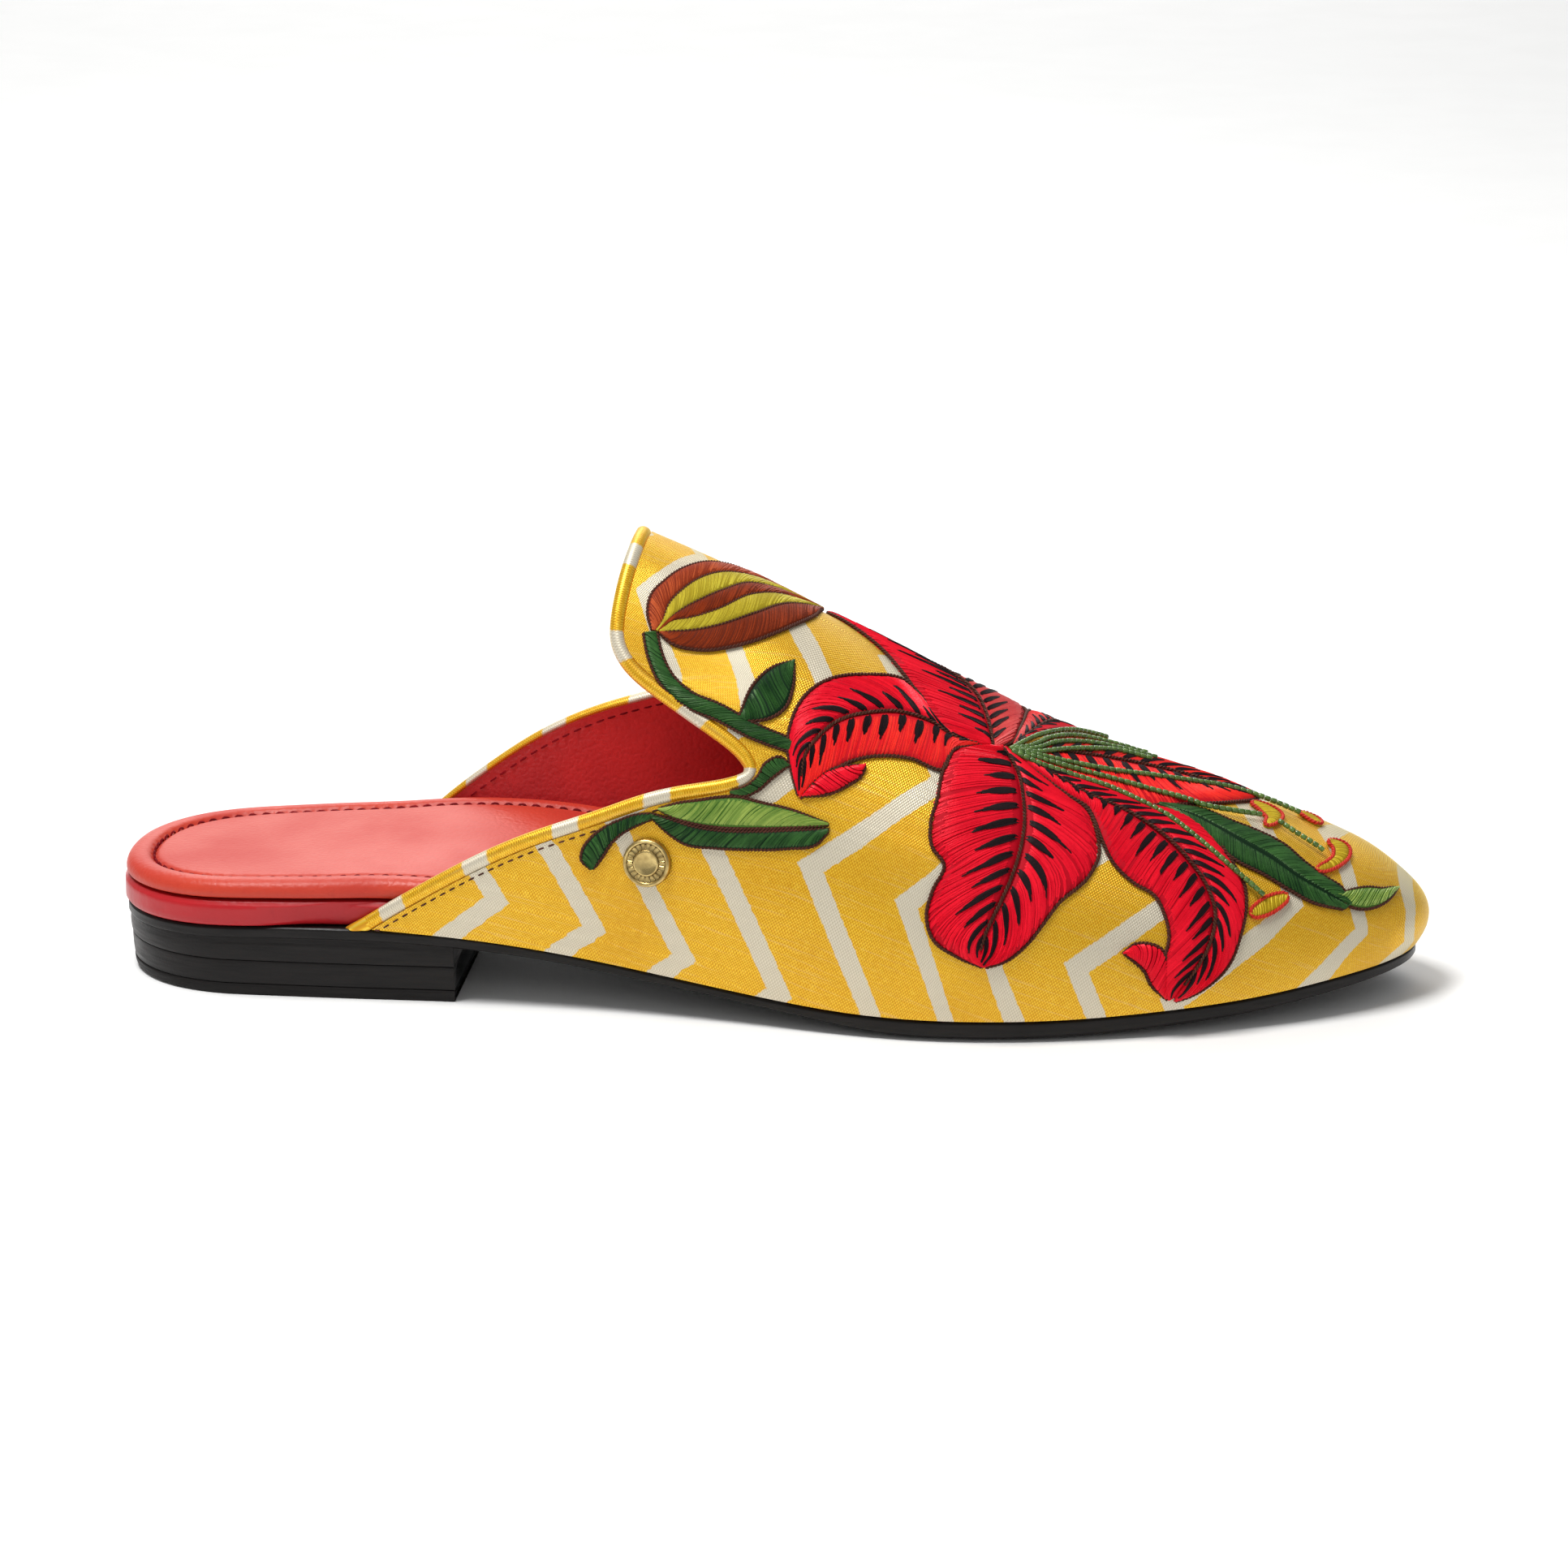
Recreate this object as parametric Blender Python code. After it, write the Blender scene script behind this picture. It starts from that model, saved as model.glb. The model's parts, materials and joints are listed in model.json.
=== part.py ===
"""A woman's flat loafer mule, the right shoe of a pair, standing on its sole.

+X points to the toe, +Y to the medial side, +Z up, and the floor is z = 0.
Sizes are in millimetres from the back of the heel, and become metres when a
piece is made. A station is a distance along the shoe from the back of the
heel. A girth angle runs round a cross-section of the upper: 0 degrees where
the upper meets the sole, 90 degrees on the ridge over the foot.
"""

import math
from collections import namedtuple

import bmesh
import bpy
import numpy as np

MM = 0.001
WELD = 0.00001  # metres: the rows of a mesh meet at its tip within this
SHARP_ANGLE = math.radians(35)
GAP = 0.3  # clearance between pieces that touch

Finish = namedtuple("Finish", "colour roughness metallic")
FINISHES = {
    "outsole": Finish((0.018, 0.017, 0.018), 0.42, 0.0),
    "heel_lift_upper": Finish((0.018, 0.017, 0.018), 0.40, 0.0),
    "heel_lift_lower": Finish((0.019, 0.018, 0.018), 0.42, 0.0),
    "heel_top_piece": Finish((0.012, 0.012, 0.012), 0.60, 0.0),
    "insole_board": Finish((0.55, 0.035, 0.045), 0.30, 0.0),
    "insole_sock": Finish((0.78, 0.18, 0.15), 0.42, 0.0),
    "upper": Finish((0.86, 0.48, 0.04), 0.45, 0.0),
    "collar_binding": Finish((0.84, 0.45, 0.04), 0.45, 0.0),
    "side_stud": Finish((0.62, 0.50, 0.28), 0.30, 1.0),
}

# ---------------------------------------------------------------- sizes, in mm
SOLE_LENGTH = 257.0
NOSE_OVERHANG = 2.4  # how far the toe of the upper stands past the sole
HEEL_ROUND = 27.0  # length of the rounded back of the heel, in plan
HEEL_ROUND_POWER = 2.15  # 2 is an ellipse, and more is squarer
TOE_ROUND = 24.0  # length of the almond tip, in plan
TOE_ROUND_POWER = 0.5  # 0.5 is a parabola, and more is sharper
TOE_CENTRE = 3.5  # the tip lies this far to the medial side
WALL = 1.8  # fabric and lining of the upper together
UPPER_OVERHANG = 0.4  # the upper stands out this far past the sole's edge

BREAST = 69.5  # station of the front face of the heel
BREAST_HOLLOW = 2.5  # how far that face is hollowed at its middle
HEEL_TAPER = 0.9  # the heel narrows by this much at the floor, all round
BACK_LIFT = 1.3  # bevel under the back of the top piece
TOP_PIECE = 2.2
LIFT_HEIGHT = 4.6
LIFT_JOINT = 0.35  # groove where two lifts of the heel meet
HEEL_INSET = 0.3  # the heel stands in from the sole's edge by this much
SOLE_BEVEL = 0.35  # share of the sole's edge that is bevelled underneath
SOLE_LIP = 0.4  # rounding of its upper edge

RAND_HEIGHT = 4.9  # leather-covered insole board
RAND_OVERHANG = 0.5  # past the black sole, round the open heel
STEP_START = 34.0  # the board narrows here to pass inside the upper
STEP_END = 41.0
STEP_SLANT = 2.0  # the step moves forward this far for each mm of height
SOCK_INSET = 0.6  # the sock is drawn in this far from the board
SOCK_RIM = 5.2  # width of its raised rim
SOCK_DIP = 0.9  # depth of the sewn channel inside the rim

BINDING_WIDTH = 3.3
BINDING_THICKNESS = 2.9
BINDING_END_THICKNESS = 1.7  # pressed flat where it meets the sole
BINDING_END = 9.0  # height above the sole at which it is full again
STUD_STATION = 108.3
STUD_GIRTH = 16.7
STUD_RADIUS = 4.75
STUD_THICKNESS = 1.6

# Plan of the sole: lateral and medial edges from the heel's centre line.
Plan = namedtuple("Plan", "station lateral medial")
PLAN = [
    Plan(0, -27.8, 27.4),
    Plan(24, -28.2, 27.6),
    Plan(47, -28.8, 27.0),
    Plan(70, -29.0, 26.2),
    Plan(100, -31.4, 26.2),
    Plan(125, -36.2, 29.2),
    Plan(145, -41.2, 33.8),
    Plan(165, -43.8, 38.6),
    Plan(180, -42.8, 40.4),
    Plan(195, -39.8, 39.8),
    Plan(209, -35.9, 37.4),
    Plan(222, -31.0, 33.6),
    Plan(233, -25.5, 28.6),
]

# Side view of the sole: height of its top face and of its underside. It is
# flat on the floor under the ball of the foot.
Profile = namedtuple("Profile", "station top under")
PROFILE = [
    Profile(0, 13.4, 10.4),
    Profile(20, 14.0, 11.0),
    Profile(45, 14.6, 11.5),
    Profile(66, 13.9, 10.9),
    Profile(85, 12.1, 9.5),
    Profile(105, 9.2, 6.7),
    Profile(125, 6.5, 4.2),
    Profile(143, 4.6, 1.9),
    Profile(156, 4.0, 0.0),
    Profile(184, 4.0, 0.0),
    Profile(205, 4.8, 1.0),
    Profile(225, 6.0, 2.5),
    Profile(243, 7.8, 4.6),
    Profile(257, 8.8, 5.9),
]

# The padded insole sock: height of its rim. The medial side lifts to the arch.
Pad = namedtuple("Pad", "station lateral medial")
SOCK = [
    Pad(0, 3.5, 3.5),
    Pad(28, 3.6, 3.7),
    Pad(46, 3.8, 5.0),
    Pad(64, 4.2, 7.8),
    Pad(90, 4.4, 9.6),
    Pad(112, 4.0, 8.6),
    Pad(135, 3.4, 5.6),
    Pad(160, 2.8, 3.2),
    Pad(257, 2.4, 2.4),
]

# Sections of the last: height of its ridge, side offset of the ridge, bulge
# of each side past the sole's edge, and squareness of the arch (1 = ellipse).
Section = namedtuple("Section", "station ridge centre bulge square")
SECTIONS = [
    Section(40, 110.0, 0.0, 0.6, 1.00),
    Section(70, 102.0, 0.0, 0.8, 1.00),
    Section(100, 90.1, 0.5, 1.0, 0.98),
    Section(110, 87.0, 1.0, 1.1, 0.98),
    Section(120, 82.3, 1.5, 1.2, 0.98),
    Section(140, 71.7, 2.5, 1.5, 0.98),
    Section(160, 61.1, 3.5, 1.8, 0.97),
    Section(180, 51.3, 4.0, 1.8, 0.95),
    Section(200, 43.6, 4.2, 1.6, 0.92),
    Section(220, 38.0, 4.0, 1.2, 0.90),
    Section(238, 31.8, 3.7, 0.6, 0.88),
    Section(249, 27.4, 3.6, 0.4, 0.88),
    Section(257, 21.6, 3.5, 0.2, 0.88),
]

# The edge of the upper, from the sole up to the ridge, on each side.
Edge = namedtuple("Edge", "station girth")
LATERAL_EDGE = [
    Edge(53.6, 0.0),
    Edge(57.0, 1.5),
    Edge(61.0, 3.2),
    Edge(70.3, 7.3),
    Edge(83, 13.2),
    Edge(99, 20.5),
    Edge(108, 24.8),
    Edge(117, 28.8),
    Edge(125, 32.6),
    Edge(129, 35.9),
    Edge(130, 38.8),
    Edge(127.5, 41.2),
    Edge(119.5, 43.4),
    Edge(111.7, 45.5),
    Edge(106, 47.5),
    Edge(102.7, 50.5),
    Edge(102.4, 55.0),
    Edge(102.9, 61.0),
    Edge(103.8, 69.0),
    Edge(104.9, 79.0),
    Edge(105.5, 90.0),
]
MEDIAL_EDGE = [
    Edge(52.4, 0.0),
    Edge(56.0, 2.5),
    Edge(60.3, 5.4),
    Edge(70.7, 11.6),
    Edge(84.3, 19.8),
    Edge(97.7, 27.0),
    Edge(110, 32.2),
    Edge(118, 35.0),
    Edge(125, 37.2),
    Edge(129, 39.8),
    Edge(129.6, 42.2),
    Edge(127, 44.2),
    Edge(119.5, 45.8),
    Edge(111.7, 47.6),
    Edge(106, 49.4),
    Edge(102.7, 52.0),
    Edge(102.4, 56.0),
    Edge(102.9, 62.0),
    Edge(103.8, 70.0),
    Edge(104.9, 79.0),
    Edge(105.5, 90.0),
]

# Nose of the toe in side view: furthest out at a share of its height, and
# leaning back by these amounts at the sole and at the ridge.
NOSE_PEAK = 0.42
NOSE_TUCK = 2.0
NOSE_LEAN = 4.2
NOSE_REACH = 34.0  # stations over which that lean fades out

# The shoe's own zero, moved to the middle of its length and of its width.
WIDTH_MIDDLE = -1.7
ORIGIN = np.array([(SOLE_LENGTH + NOSE_OVERHANG - RAND_OVERHANG) / 2, WIDTH_MIDDLE, 0.0])

# Steps of the meshes.
EDGE_STEPS = 36  # along the edge of the upper, each side
LENGTH_STEPS = 18  # from the toe back to that edge
TIP_CROWDING = 1.9  # 1 spaces those steps evenly, and more crowds the toe
OUTLINE_STEPS = 40  # along each side of a sole-shaped piece
HEEL_STEPS = 20  # along each side of a layer of the heel
FRONT_STEPS = 6  # across the front face of the heel
GIRTH_MM = 1.25  # surface to one degree of girth, about


# ---------------------------------------------------------------- curve tools
def hermite(knots, values, at):
    """A smooth curve through the values, that never runs past them.

    Its slopes come from the neighbours, and are level where the values turn.
    """
    knots = np.asarray(knots, float)
    values = np.asarray(values, float)
    chords = np.diff(values) / np.diff(knots)
    slopes = np.gradient(values, knots)
    turns = chords[1:] * chords[:-1] <= 0
    slopes[1:-1][turns] = 0
    at = np.clip(np.asarray(at, float), knots[0], knots[-1])
    low = np.clip(np.searchsorted(knots, at) - 1, 0, len(knots) - 2)
    span = knots[low + 1] - knots[low]
    t = (at - knots[low]) / span
    return (
        values[low] * (2 * t**3 - 3 * t**2 + 1)
        + values[low + 1] * (3 * t**2 - 2 * t**3)
        + slopes[low] * span * (t**3 - 2 * t**2 + t)
        + slopes[low + 1] * span * (t**3 - t**2)
    )


def column(table, name, station):
    """One named column of a table, as a smooth function of the station."""
    stations = [row.station for row in table]
    return hermite(stations, [getattr(row, name) for row in table], station)


def smoothstep(low, high, at):
    t = np.clip((np.asarray(at, float) - low) / (high - low), 0, 1)
    return t * t * (3 - 2 * t)


# ------------------------------------------------------------ the shoe's form
def plan_edge(side, station):
    """Edge of the sole on one side, rounded at the heel and almond at the toe."""
    station = np.clip(np.asarray(station, float), 0, SOLE_LENGTH)
    edge = column(PLAN, side, np.minimum(station, SOLE_LENGTH - TOE_ROUND))
    back = np.clip(1 - station / HEEL_ROUND, 0, 1)
    heel = (1 - back**HEEL_ROUND_POWER) ** (1 / HEEL_ROUND_POWER)
    front = np.clip((SOLE_LENGTH - station) / TOE_ROUND, 0, 1)
    toe = front**TOE_ROUND_POWER
    return TOE_CENTRE * (1 - toe) + edge * heel * toe


def sole_top(station):
    return column(PROFILE, "top", station)


def sole_under(station):
    return column(PROFILE, "under", station)


def outline():
    """Closed outline of the sole: heel, lateral side, toe, medial side.

    The steps are close together at the rounded ends, where both sides meet.
    """
    share = np.linspace(0, 1, OUTLINE_STEPS + 1)
    crowded = (1 - np.cos(share * math.pi)) / 2
    stations = SOLE_LENGTH * (crowded * 0.94 + share * 0.06)
    lateral = np.column_stack([stations, plan_edge("lateral", stations)])
    medial = np.column_stack([stations, plan_edge("medial", stations)])
    return np.vstack([lateral, medial[-2:0:-1]])


def inset(points, distance):
    """A closed outline moved inwards, square to itself."""
    step = np.roll(points, -1, axis=0) - np.roll(points, 1, axis=0)
    step /= np.linalg.norm(step, axis=1)[:, None]
    inward = np.column_stack([-step[:, 1], step[:, 0]])
    return points + inward * np.broadcast_to(distance, len(points))[:, None]


def last_point(station, girth, side):
    """A point on the outside of the upper: station, girth angle in degrees."""
    angle = np.radians(girth)
    across = np.maximum(np.cos(angle), 0)
    up = np.sin(angle)
    square = column(SECTIONS, "square", station)
    ridge = column(SECTIONS, "ridge", station)
    centre = column(SECTIONS, "centre", station)
    bulge = column(SECTIONS, "bulge", station)
    base = sole_top(station) + GAP
    sign = 1 if side == "medial" else -1
    tip = np.clip((SOLE_LENGTH - station) / TOE_ROUND, 0, 1) ** TOE_ROUND_POWER
    foot = plan_edge(side, station) + sign * UPPER_OVERHANG * tip
    out = (bulge - UPPER_OVERHANG) * tip * np.sin(np.minimum(angle * 3, math.pi / 2))
    y = centre + (foot + sign * out - centre) * across**square
    z = base + (ridge - base) * up ** (2 - square)
    share = (z - base) / (ridge - base)
    tuck = NOSE_TUCK * np.clip(1 - share / NOSE_PEAK, 0, 1) ** 2
    lean = NOSE_LEAN * np.clip((share - NOSE_PEAK) / (1 - NOSE_PEAK), 0, 1) ** 2
    reach = smoothstep(SOLE_LENGTH - NOSE_REACH, SOLE_LENGTH, station)
    x = station + (NOSE_OVERHANG - tuck - lean) * reach
    return np.stack(np.broadcast_arrays(x, y, z), axis=-1)


def edge_curve(table, steps):
    """Stations and girths along the edge of the upper, evenly spaced."""
    rows = np.array(table, float)
    chord = np.hypot(np.diff(rows[:, 0]), np.diff(rows[:, 1]) * GIRTH_MM)
    along = np.concatenate([[0], np.cumsum(chord)])
    at = np.linspace(0, along[-1], steps + 1)
    return hermite(along, rows[:, 0], at), hermite(along, rows[:, 1], at)


def upper_skin():
    """Outside of the upper as a grid: rows along its edge, columns to the toe."""
    steps = np.linspace(0, 1, LENGTH_STEPS + 1)
    back = steps**TIP_CROWDING
    blend = (back + smoothstep(0, 1, back)) / 2
    toe_girths = np.linspace(0, 90, EDGE_STEPS + 1)
    halves = []
    for side, table in (("lateral", LATERAL_EDGE), ("medial", MEDIAL_EDGE)):
        rows = []
        for station, girth, toe_girth in zip(*edge_curve(table, EDGE_STEPS), toe_girths):
            at = SOLE_LENGTH - (SOLE_LENGTH - station) * back
            turned = toe_girth * (1 - blend) + girth * blend
            rows.append(last_point(at, turned, side))
        halves.append(np.array(rows))
    return np.concatenate([halves[0], halves[1][::-1][1:]])


# ----------------------------------------------------------------- mesh tools
def new_object(name, mesh):
    """A named object with its own material, shaded smooth up to its edges."""
    finish = FINISHES[name]
    material = bpy.data.materials.new(name)
    material.use_nodes = True
    shader = material.node_tree.nodes["Principled BSDF"]
    shader.inputs["Base Color"].default_value = (*finish.colour, 1)
    shader.inputs["Roughness"].default_value = finish.roughness
    shader.inputs["Metallic"].default_value = finish.metallic
    material.diffuse_color = (*finish.colour, 1)
    mesh.materials.append(material)
    mesh.shade_smooth()
    mesh.set_sharp_from_angle(angle=SHARP_ANGLE)
    obj = bpy.data.objects.new(name, mesh)
    bpy.context.scene.collection.objects.link(obj)
    return obj


def to_world(points):
    """Millimetres from the back of the heel, to metres about the shoe's middle."""
    return (np.asarray(points, float) - ORIGIN) * MM


def loft(name, rings, closed=True, caps=True):
    """A mesh bridged from ring to ring. Its end rings are capped across."""
    mesh = bpy.data.meshes.new(name)
    bm = bmesh.new()
    loops = [[bm.verts.new(p) for p in to_world(ring)] for ring in rings]
    count = len(loops[0])
    for low, high in zip(loops, loops[1:]):
        for i in range(count if closed else count - 1):
            j = (i + 1) % count
            bm.faces.new((low[i], low[j], high[j], high[i]))
    if caps:
        for loop in (loops[0], loops[-1]):
            cap_across(bm, loop)
    bmesh.ops.remove_doubles(bm, verts=bm.verts, dist=WELD)
    bmesh.ops.recalc_face_normals(bm, faces=bm.faces)
    bm.to_mesh(mesh)
    bm.free()
    return new_object(name, mesh)


def cap_across(bm, loop):
    """Closes a sole-shaped loop with strips from its lateral to its medial side."""
    count = len(loop)
    left, right = 1, count - 1
    bm.faces.new((loop[0], loop[left], loop[right]))
    while right - left > 2:
        bm.faces.new((loop[left], loop[left + 1], loop[right - 1], loop[right]))
        left, right = left + 1, right - 1
    if right - left == 2:
        bm.faces.new((loop[left], loop[left + 1], loop[right]))


def at_height(points, height):
    """Plan points given a height, one number or one for each point."""
    return np.column_stack([points, np.broadcast_to(height, len(points))])


# --------------------------------------------------------------------- pieces
def make_outsole():
    """The thin sole: flat under the ball, arched at the waist, sprung at the toe."""
    edge = outline()
    top = sole_top(edge[:, 0])
    under = sole_under(edge[:, 0])
    bevel = (top - under) * SOLE_BEVEL
    rings = [
        at_height(inset(edge, 9.0), under),
        at_height(inset(edge, 2.2), under),
        at_height(inset(edge, 0.6), under + bevel * 0.5),
        at_height(edge, under + bevel),
        at_height(edge, top - SOLE_LIP),
        at_height(inset(edge, SOLE_LIP), top),
    ]
    return loft("outsole", rings)


def heel_outline(distance):
    """Plan of the heel: the sole's outline drawn in, with a hollow front face."""
    share = np.linspace(0, 1, HEEL_STEPS + 1)
    stations = BREAST * ((1 - np.cos(share * math.pi / 2)) * 0.7 + share * 0.3)
    lateral = np.column_stack([stations, plan_edge("lateral", stations)])
    medial = np.column_stack([stations, plan_edge("medial", stations)])
    moved = inset(np.vstack([lateral, medial[:0:-1]]), distance)
    corners = slice(HEEL_STEPS, HEEL_STEPS + 2)
    moved[corners, 0] = BREAST
    moved[corners, 1] = [lateral[-1, 1] + distance, medial[-1, 1] - distance]
    across = np.linspace(0, 1, FRONT_STEPS + 1)[1:-1, None]
    front = moved[HEEL_STEPS] * (1 - across) + moved[HEEL_STEPS + 1] * across
    front[:, 0] -= BREAST_HOLLOW * np.sin(across[:, 0] * math.pi)
    return np.vstack([moved[: HEEL_STEPS + 1], front, moved[HEEL_STEPS + 1 :]])


def heel_layer(name, low, high, back_lift=0.0):
    """One layer of the heel, from a height up to a height or a curved seat."""
    total = sole_under(BREAST)
    rings = []
    for share, groove in [(0.0, 0.5), (0.12, 0.0), (0.88, 0.0), (1.0, 0.5)]:
        middle = low + (min(np.max(high), total) - low) * share
        taper = HEEL_TAPER * (1 - middle / total) + groove * LIFT_JOINT
        plan = heel_outline(HEEL_INSET + taper)
        rounded = np.clip(1 - plan[:, 0] / HEEL_ROUND, 0, 1) ** 2
        heights = low + (high - low) * share + back_lift * rounded * (1 - share)
        rings.append(at_height(plan, heights))
    return loft(name, rings)


def make_heel():
    """A top piece on the floor and two lifts that build the heel up to the sole."""
    first = TOP_PIECE + GAP
    second = first + LIFT_HEIGHT + GAP
    seat = sole_under(heel_outline(HEEL_INSET)[:, 0]) - GAP
    heel_layer("heel_top_piece", 0.0, TOP_PIECE, BACK_LIFT)
    heel_layer("heel_lift_lower", first, first + LIFT_HEIGHT)
    heel_layer("heel_lift_upper", second, seat)


def inside_upper(edge, clearance, rise):
    """How far an insole piece keeps in from the sole's edge, for each point.

    It is full width at the open heel, and clears the upper's wall further on.
    """
    ahead = edge[:, 0] - rise * STEP_SLANT
    covered = smoothstep(STEP_START, STEP_END, ahead)
    toe = smoothstep(SOLE_LENGTH - 12, SOLE_LENGTH, edge[:, 0])
    inside = WALL - UPPER_OVERHANG + clearance + toe * 1.6
    return inside * covered - RAND_OVERHANG * (1 - covered)


def make_rand():
    """The insole board in its leather cover, which shows as a rim at the heel."""
    edge = outline()
    base = sole_top(edge[:, 0]) + GAP
    profile = [(0.5, 0.0), (0.0, 0.7), (0.0, RAND_HEIGHT - 0.9), (0.7, RAND_HEIGHT)]
    rings = []
    for rounding, rise in profile:
        keep = inside_upper(edge, GAP, rise)
        rings.append(at_height(inset(edge, keep + rounding), base + rise))
    return loft("insole_board", rings)


def make_sock():
    """The padded insole sock: a rolled rim, a sewn channel and a soft middle."""
    edge = outline()
    keep = inside_upper(edge, GAP + 0.2, RAND_HEIGHT) + SOCK_INSET
    toe = smoothstep(215, 250, edge[:, 0])
    rim = SOCK_RIM * (1 - 0.45 * toe)
    base = sole_top(edge[:, 0]) + 2 * GAP + RAND_HEIGHT
    lateral = column(SOCK, "lateral", edge[:, 0])
    medial = column(SOCK, "medial", edge[:, 0])
    height = np.where(edge[:, 1] < TOE_CENTRE, lateral, medial)
    profile = [
        (0.55, 0.0, 0.00),
        (0.05, 0.0, 0.22),
        (0.00, 0.0, 0.45),
        (0.00, 0.1, 0.80),
        (0.00, 0.42, 1.00),
        (0.00, 0.72, 0.97),
    ]
    rings = [
        at_height(inset(edge, keep + fixed + rim * share), base + height * rise)
        for fixed, share, rise in profile
    ]
    top = base + height
    rings.append(at_height(inset(edge, keep + rim), top - SOCK_DIP))
    rings.append(at_height(inset(edge, keep + rim + 1.2), top - SOCK_DIP * 0.6))
    rings.append(at_height(inset(edge, keep + rim + 3.2), top - SOCK_DIP * 0.4))
    return loft("insole_sock", rings)


def make_upper():
    """The whole-cut upper: one skin on the last, thickened inwards to its wall."""
    grid = upper_skin()
    upper = loft("upper", grid, closed=False, caps=False)
    wall = upper.modifiers.new("wall", "SOLIDIFY")
    wall.thickness = WALL * MM
    wall.offset = -1.0
    wall.use_even_offset = True
    return upper


def edge_frame():
    """Edge of the upper: its points, the way out past the edge, and its normals."""
    grid = upper_skin()
    edge, before = grid[:, -1], grid[:, -2]
    along = np.gradient(edge, axis=0)
    along /= np.linalg.norm(along, axis=1)[:, None]
    out = edge - before
    out -= (out * along).sum(1)[:, None] * along
    out /= np.linalg.norm(out, axis=1)[:, None]
    normal = np.cross(along, out)
    middle = np.array([150.0, 0.0, 30.0])
    flip = np.sign((normal * (edge - middle)).sum(1))
    return edge, out, normal * flip[:, None]


def make_binding():
    """The bound edge of the collar: an oval roll of fabric round the opening.

    It runs on past the upper at both ends, and is cut off level with the sole.
    """
    edge, out, normal = edge_frame()
    edge = np.vstack([2 * edge[0] - edge[2], edge, 2 * edge[-1] - edge[-3]])
    out = np.vstack([out[0], out, out[-1]])
    normal = np.vstack([normal[0], normal, normal[-1]])
    around = np.linspace(0, 2 * math.pi, 9)[:-1] + math.pi / 8
    full = smoothstep(0, BINDING_END, edge[:, 2] - sole_top(edge[:, 0]))
    thick = BINDING_END_THICKNESS + (BINDING_THICKNESS - BINDING_END_THICKNESS) * full
    centre = edge + out * (GAP + BINDING_WIDTH / 2) - normal * WALL / 2
    rings = []
    for point, away, up, deep in zip(centre, out, normal, thick):
        wide = away * BINDING_WIDTH / 2
        high = up * deep / 2
        rings.append(point + np.cos(around)[:, None] * wide + np.sin(around)[:, None] * high)
    binding = loft("collar_binding", rings)
    cut_at_sole(binding)
    return binding


def cut_at_sole(piece):
    """Cuts a piece off level with the top of the sole at the ends of the collar."""
    seat = sole_top(45.0) + GAP
    bpy.ops.mesh.primitive_cube_add(size=1)
    cutter = bpy.context.object
    cutter.name = "sole_cutter"
    cutter.scale = (0.060, 0.120, 0.030)
    cutter.location = to_world([50.0, 0.0, seat - 15.0])
    cutter.hide_render = True
    cutter.display_type = "WIRE"
    cut = piece.modifiers.new("cut_at_sole", "BOOLEAN")
    cut.operation = "DIFFERENCE"
    cut.solver = "EXACT"
    cut.object = cutter


def make_stud():
    """A domed brass stud cap with a sunk centre, on the lateral quarter."""
    here = last_point(STUD_STATION, STUD_GIRTH, "lateral")
    ahead = last_point(STUD_STATION + 1, STUD_GIRTH, "lateral")
    higher = last_point(STUD_STATION, STUD_GIRTH + 1, "lateral")
    axis = np.cross(ahead - here, higher - here)
    axis /= np.linalg.norm(axis)
    axis *= -math.copysign(1, axis[1])
    across = (ahead - here) / np.linalg.norm(ahead - here)
    third = np.cross(axis, across)
    profile = [
        (0.94, 0.00),
        (1.00, 0.25),
        (0.97, 0.60),
        (0.86, 0.82),
        (0.55, 0.88),
        (0.47, 1.00),
        (0.39, 1.00),
        (0.34, 0.80),
        (0.12, 0.80),
    ]
    turns = np.linspace(0, 2 * math.pi, 25)[:-1]
    rings = []
    for radius, rise in profile:
        middle = here + axis * (GAP + 0.2 + STUD_THICKNESS * rise)
        rings.append(
            middle
            + STUD_RADIUS
            * radius
            * (np.cos(turns)[:, None] * across + np.sin(turns)[:, None] * third)
        )
    return loft("side_stud", rings)


def main():
    for obj in list(bpy.data.objects):
        bpy.data.objects.remove(obj)
    make_outsole()
    make_heel()
    make_rand()
    make_sock()
    make_upper()
    make_binding()
    make_stud()


main()
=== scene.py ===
# %% [markdown]
# # A loafer mule in chevron satin, leather and silk thread
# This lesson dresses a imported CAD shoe. The CAD solids fix every size and place. What is added here
# is what a shoemaker, a weaver and an embroiderer would add: cloth, linings, stitches, threads, beads.
# The first step loads the solids. Each one arrives with its place in its own mesh, in metres, with
# the toe along +X, the inner side of the foot along +Y and the floor at zero height.

import json
import math
from contextlib import contextmanager

import bpy
import numpy as np
from mathutils import Matrix, Vector
from mathutils.bvhtree import BVHTree

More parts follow.
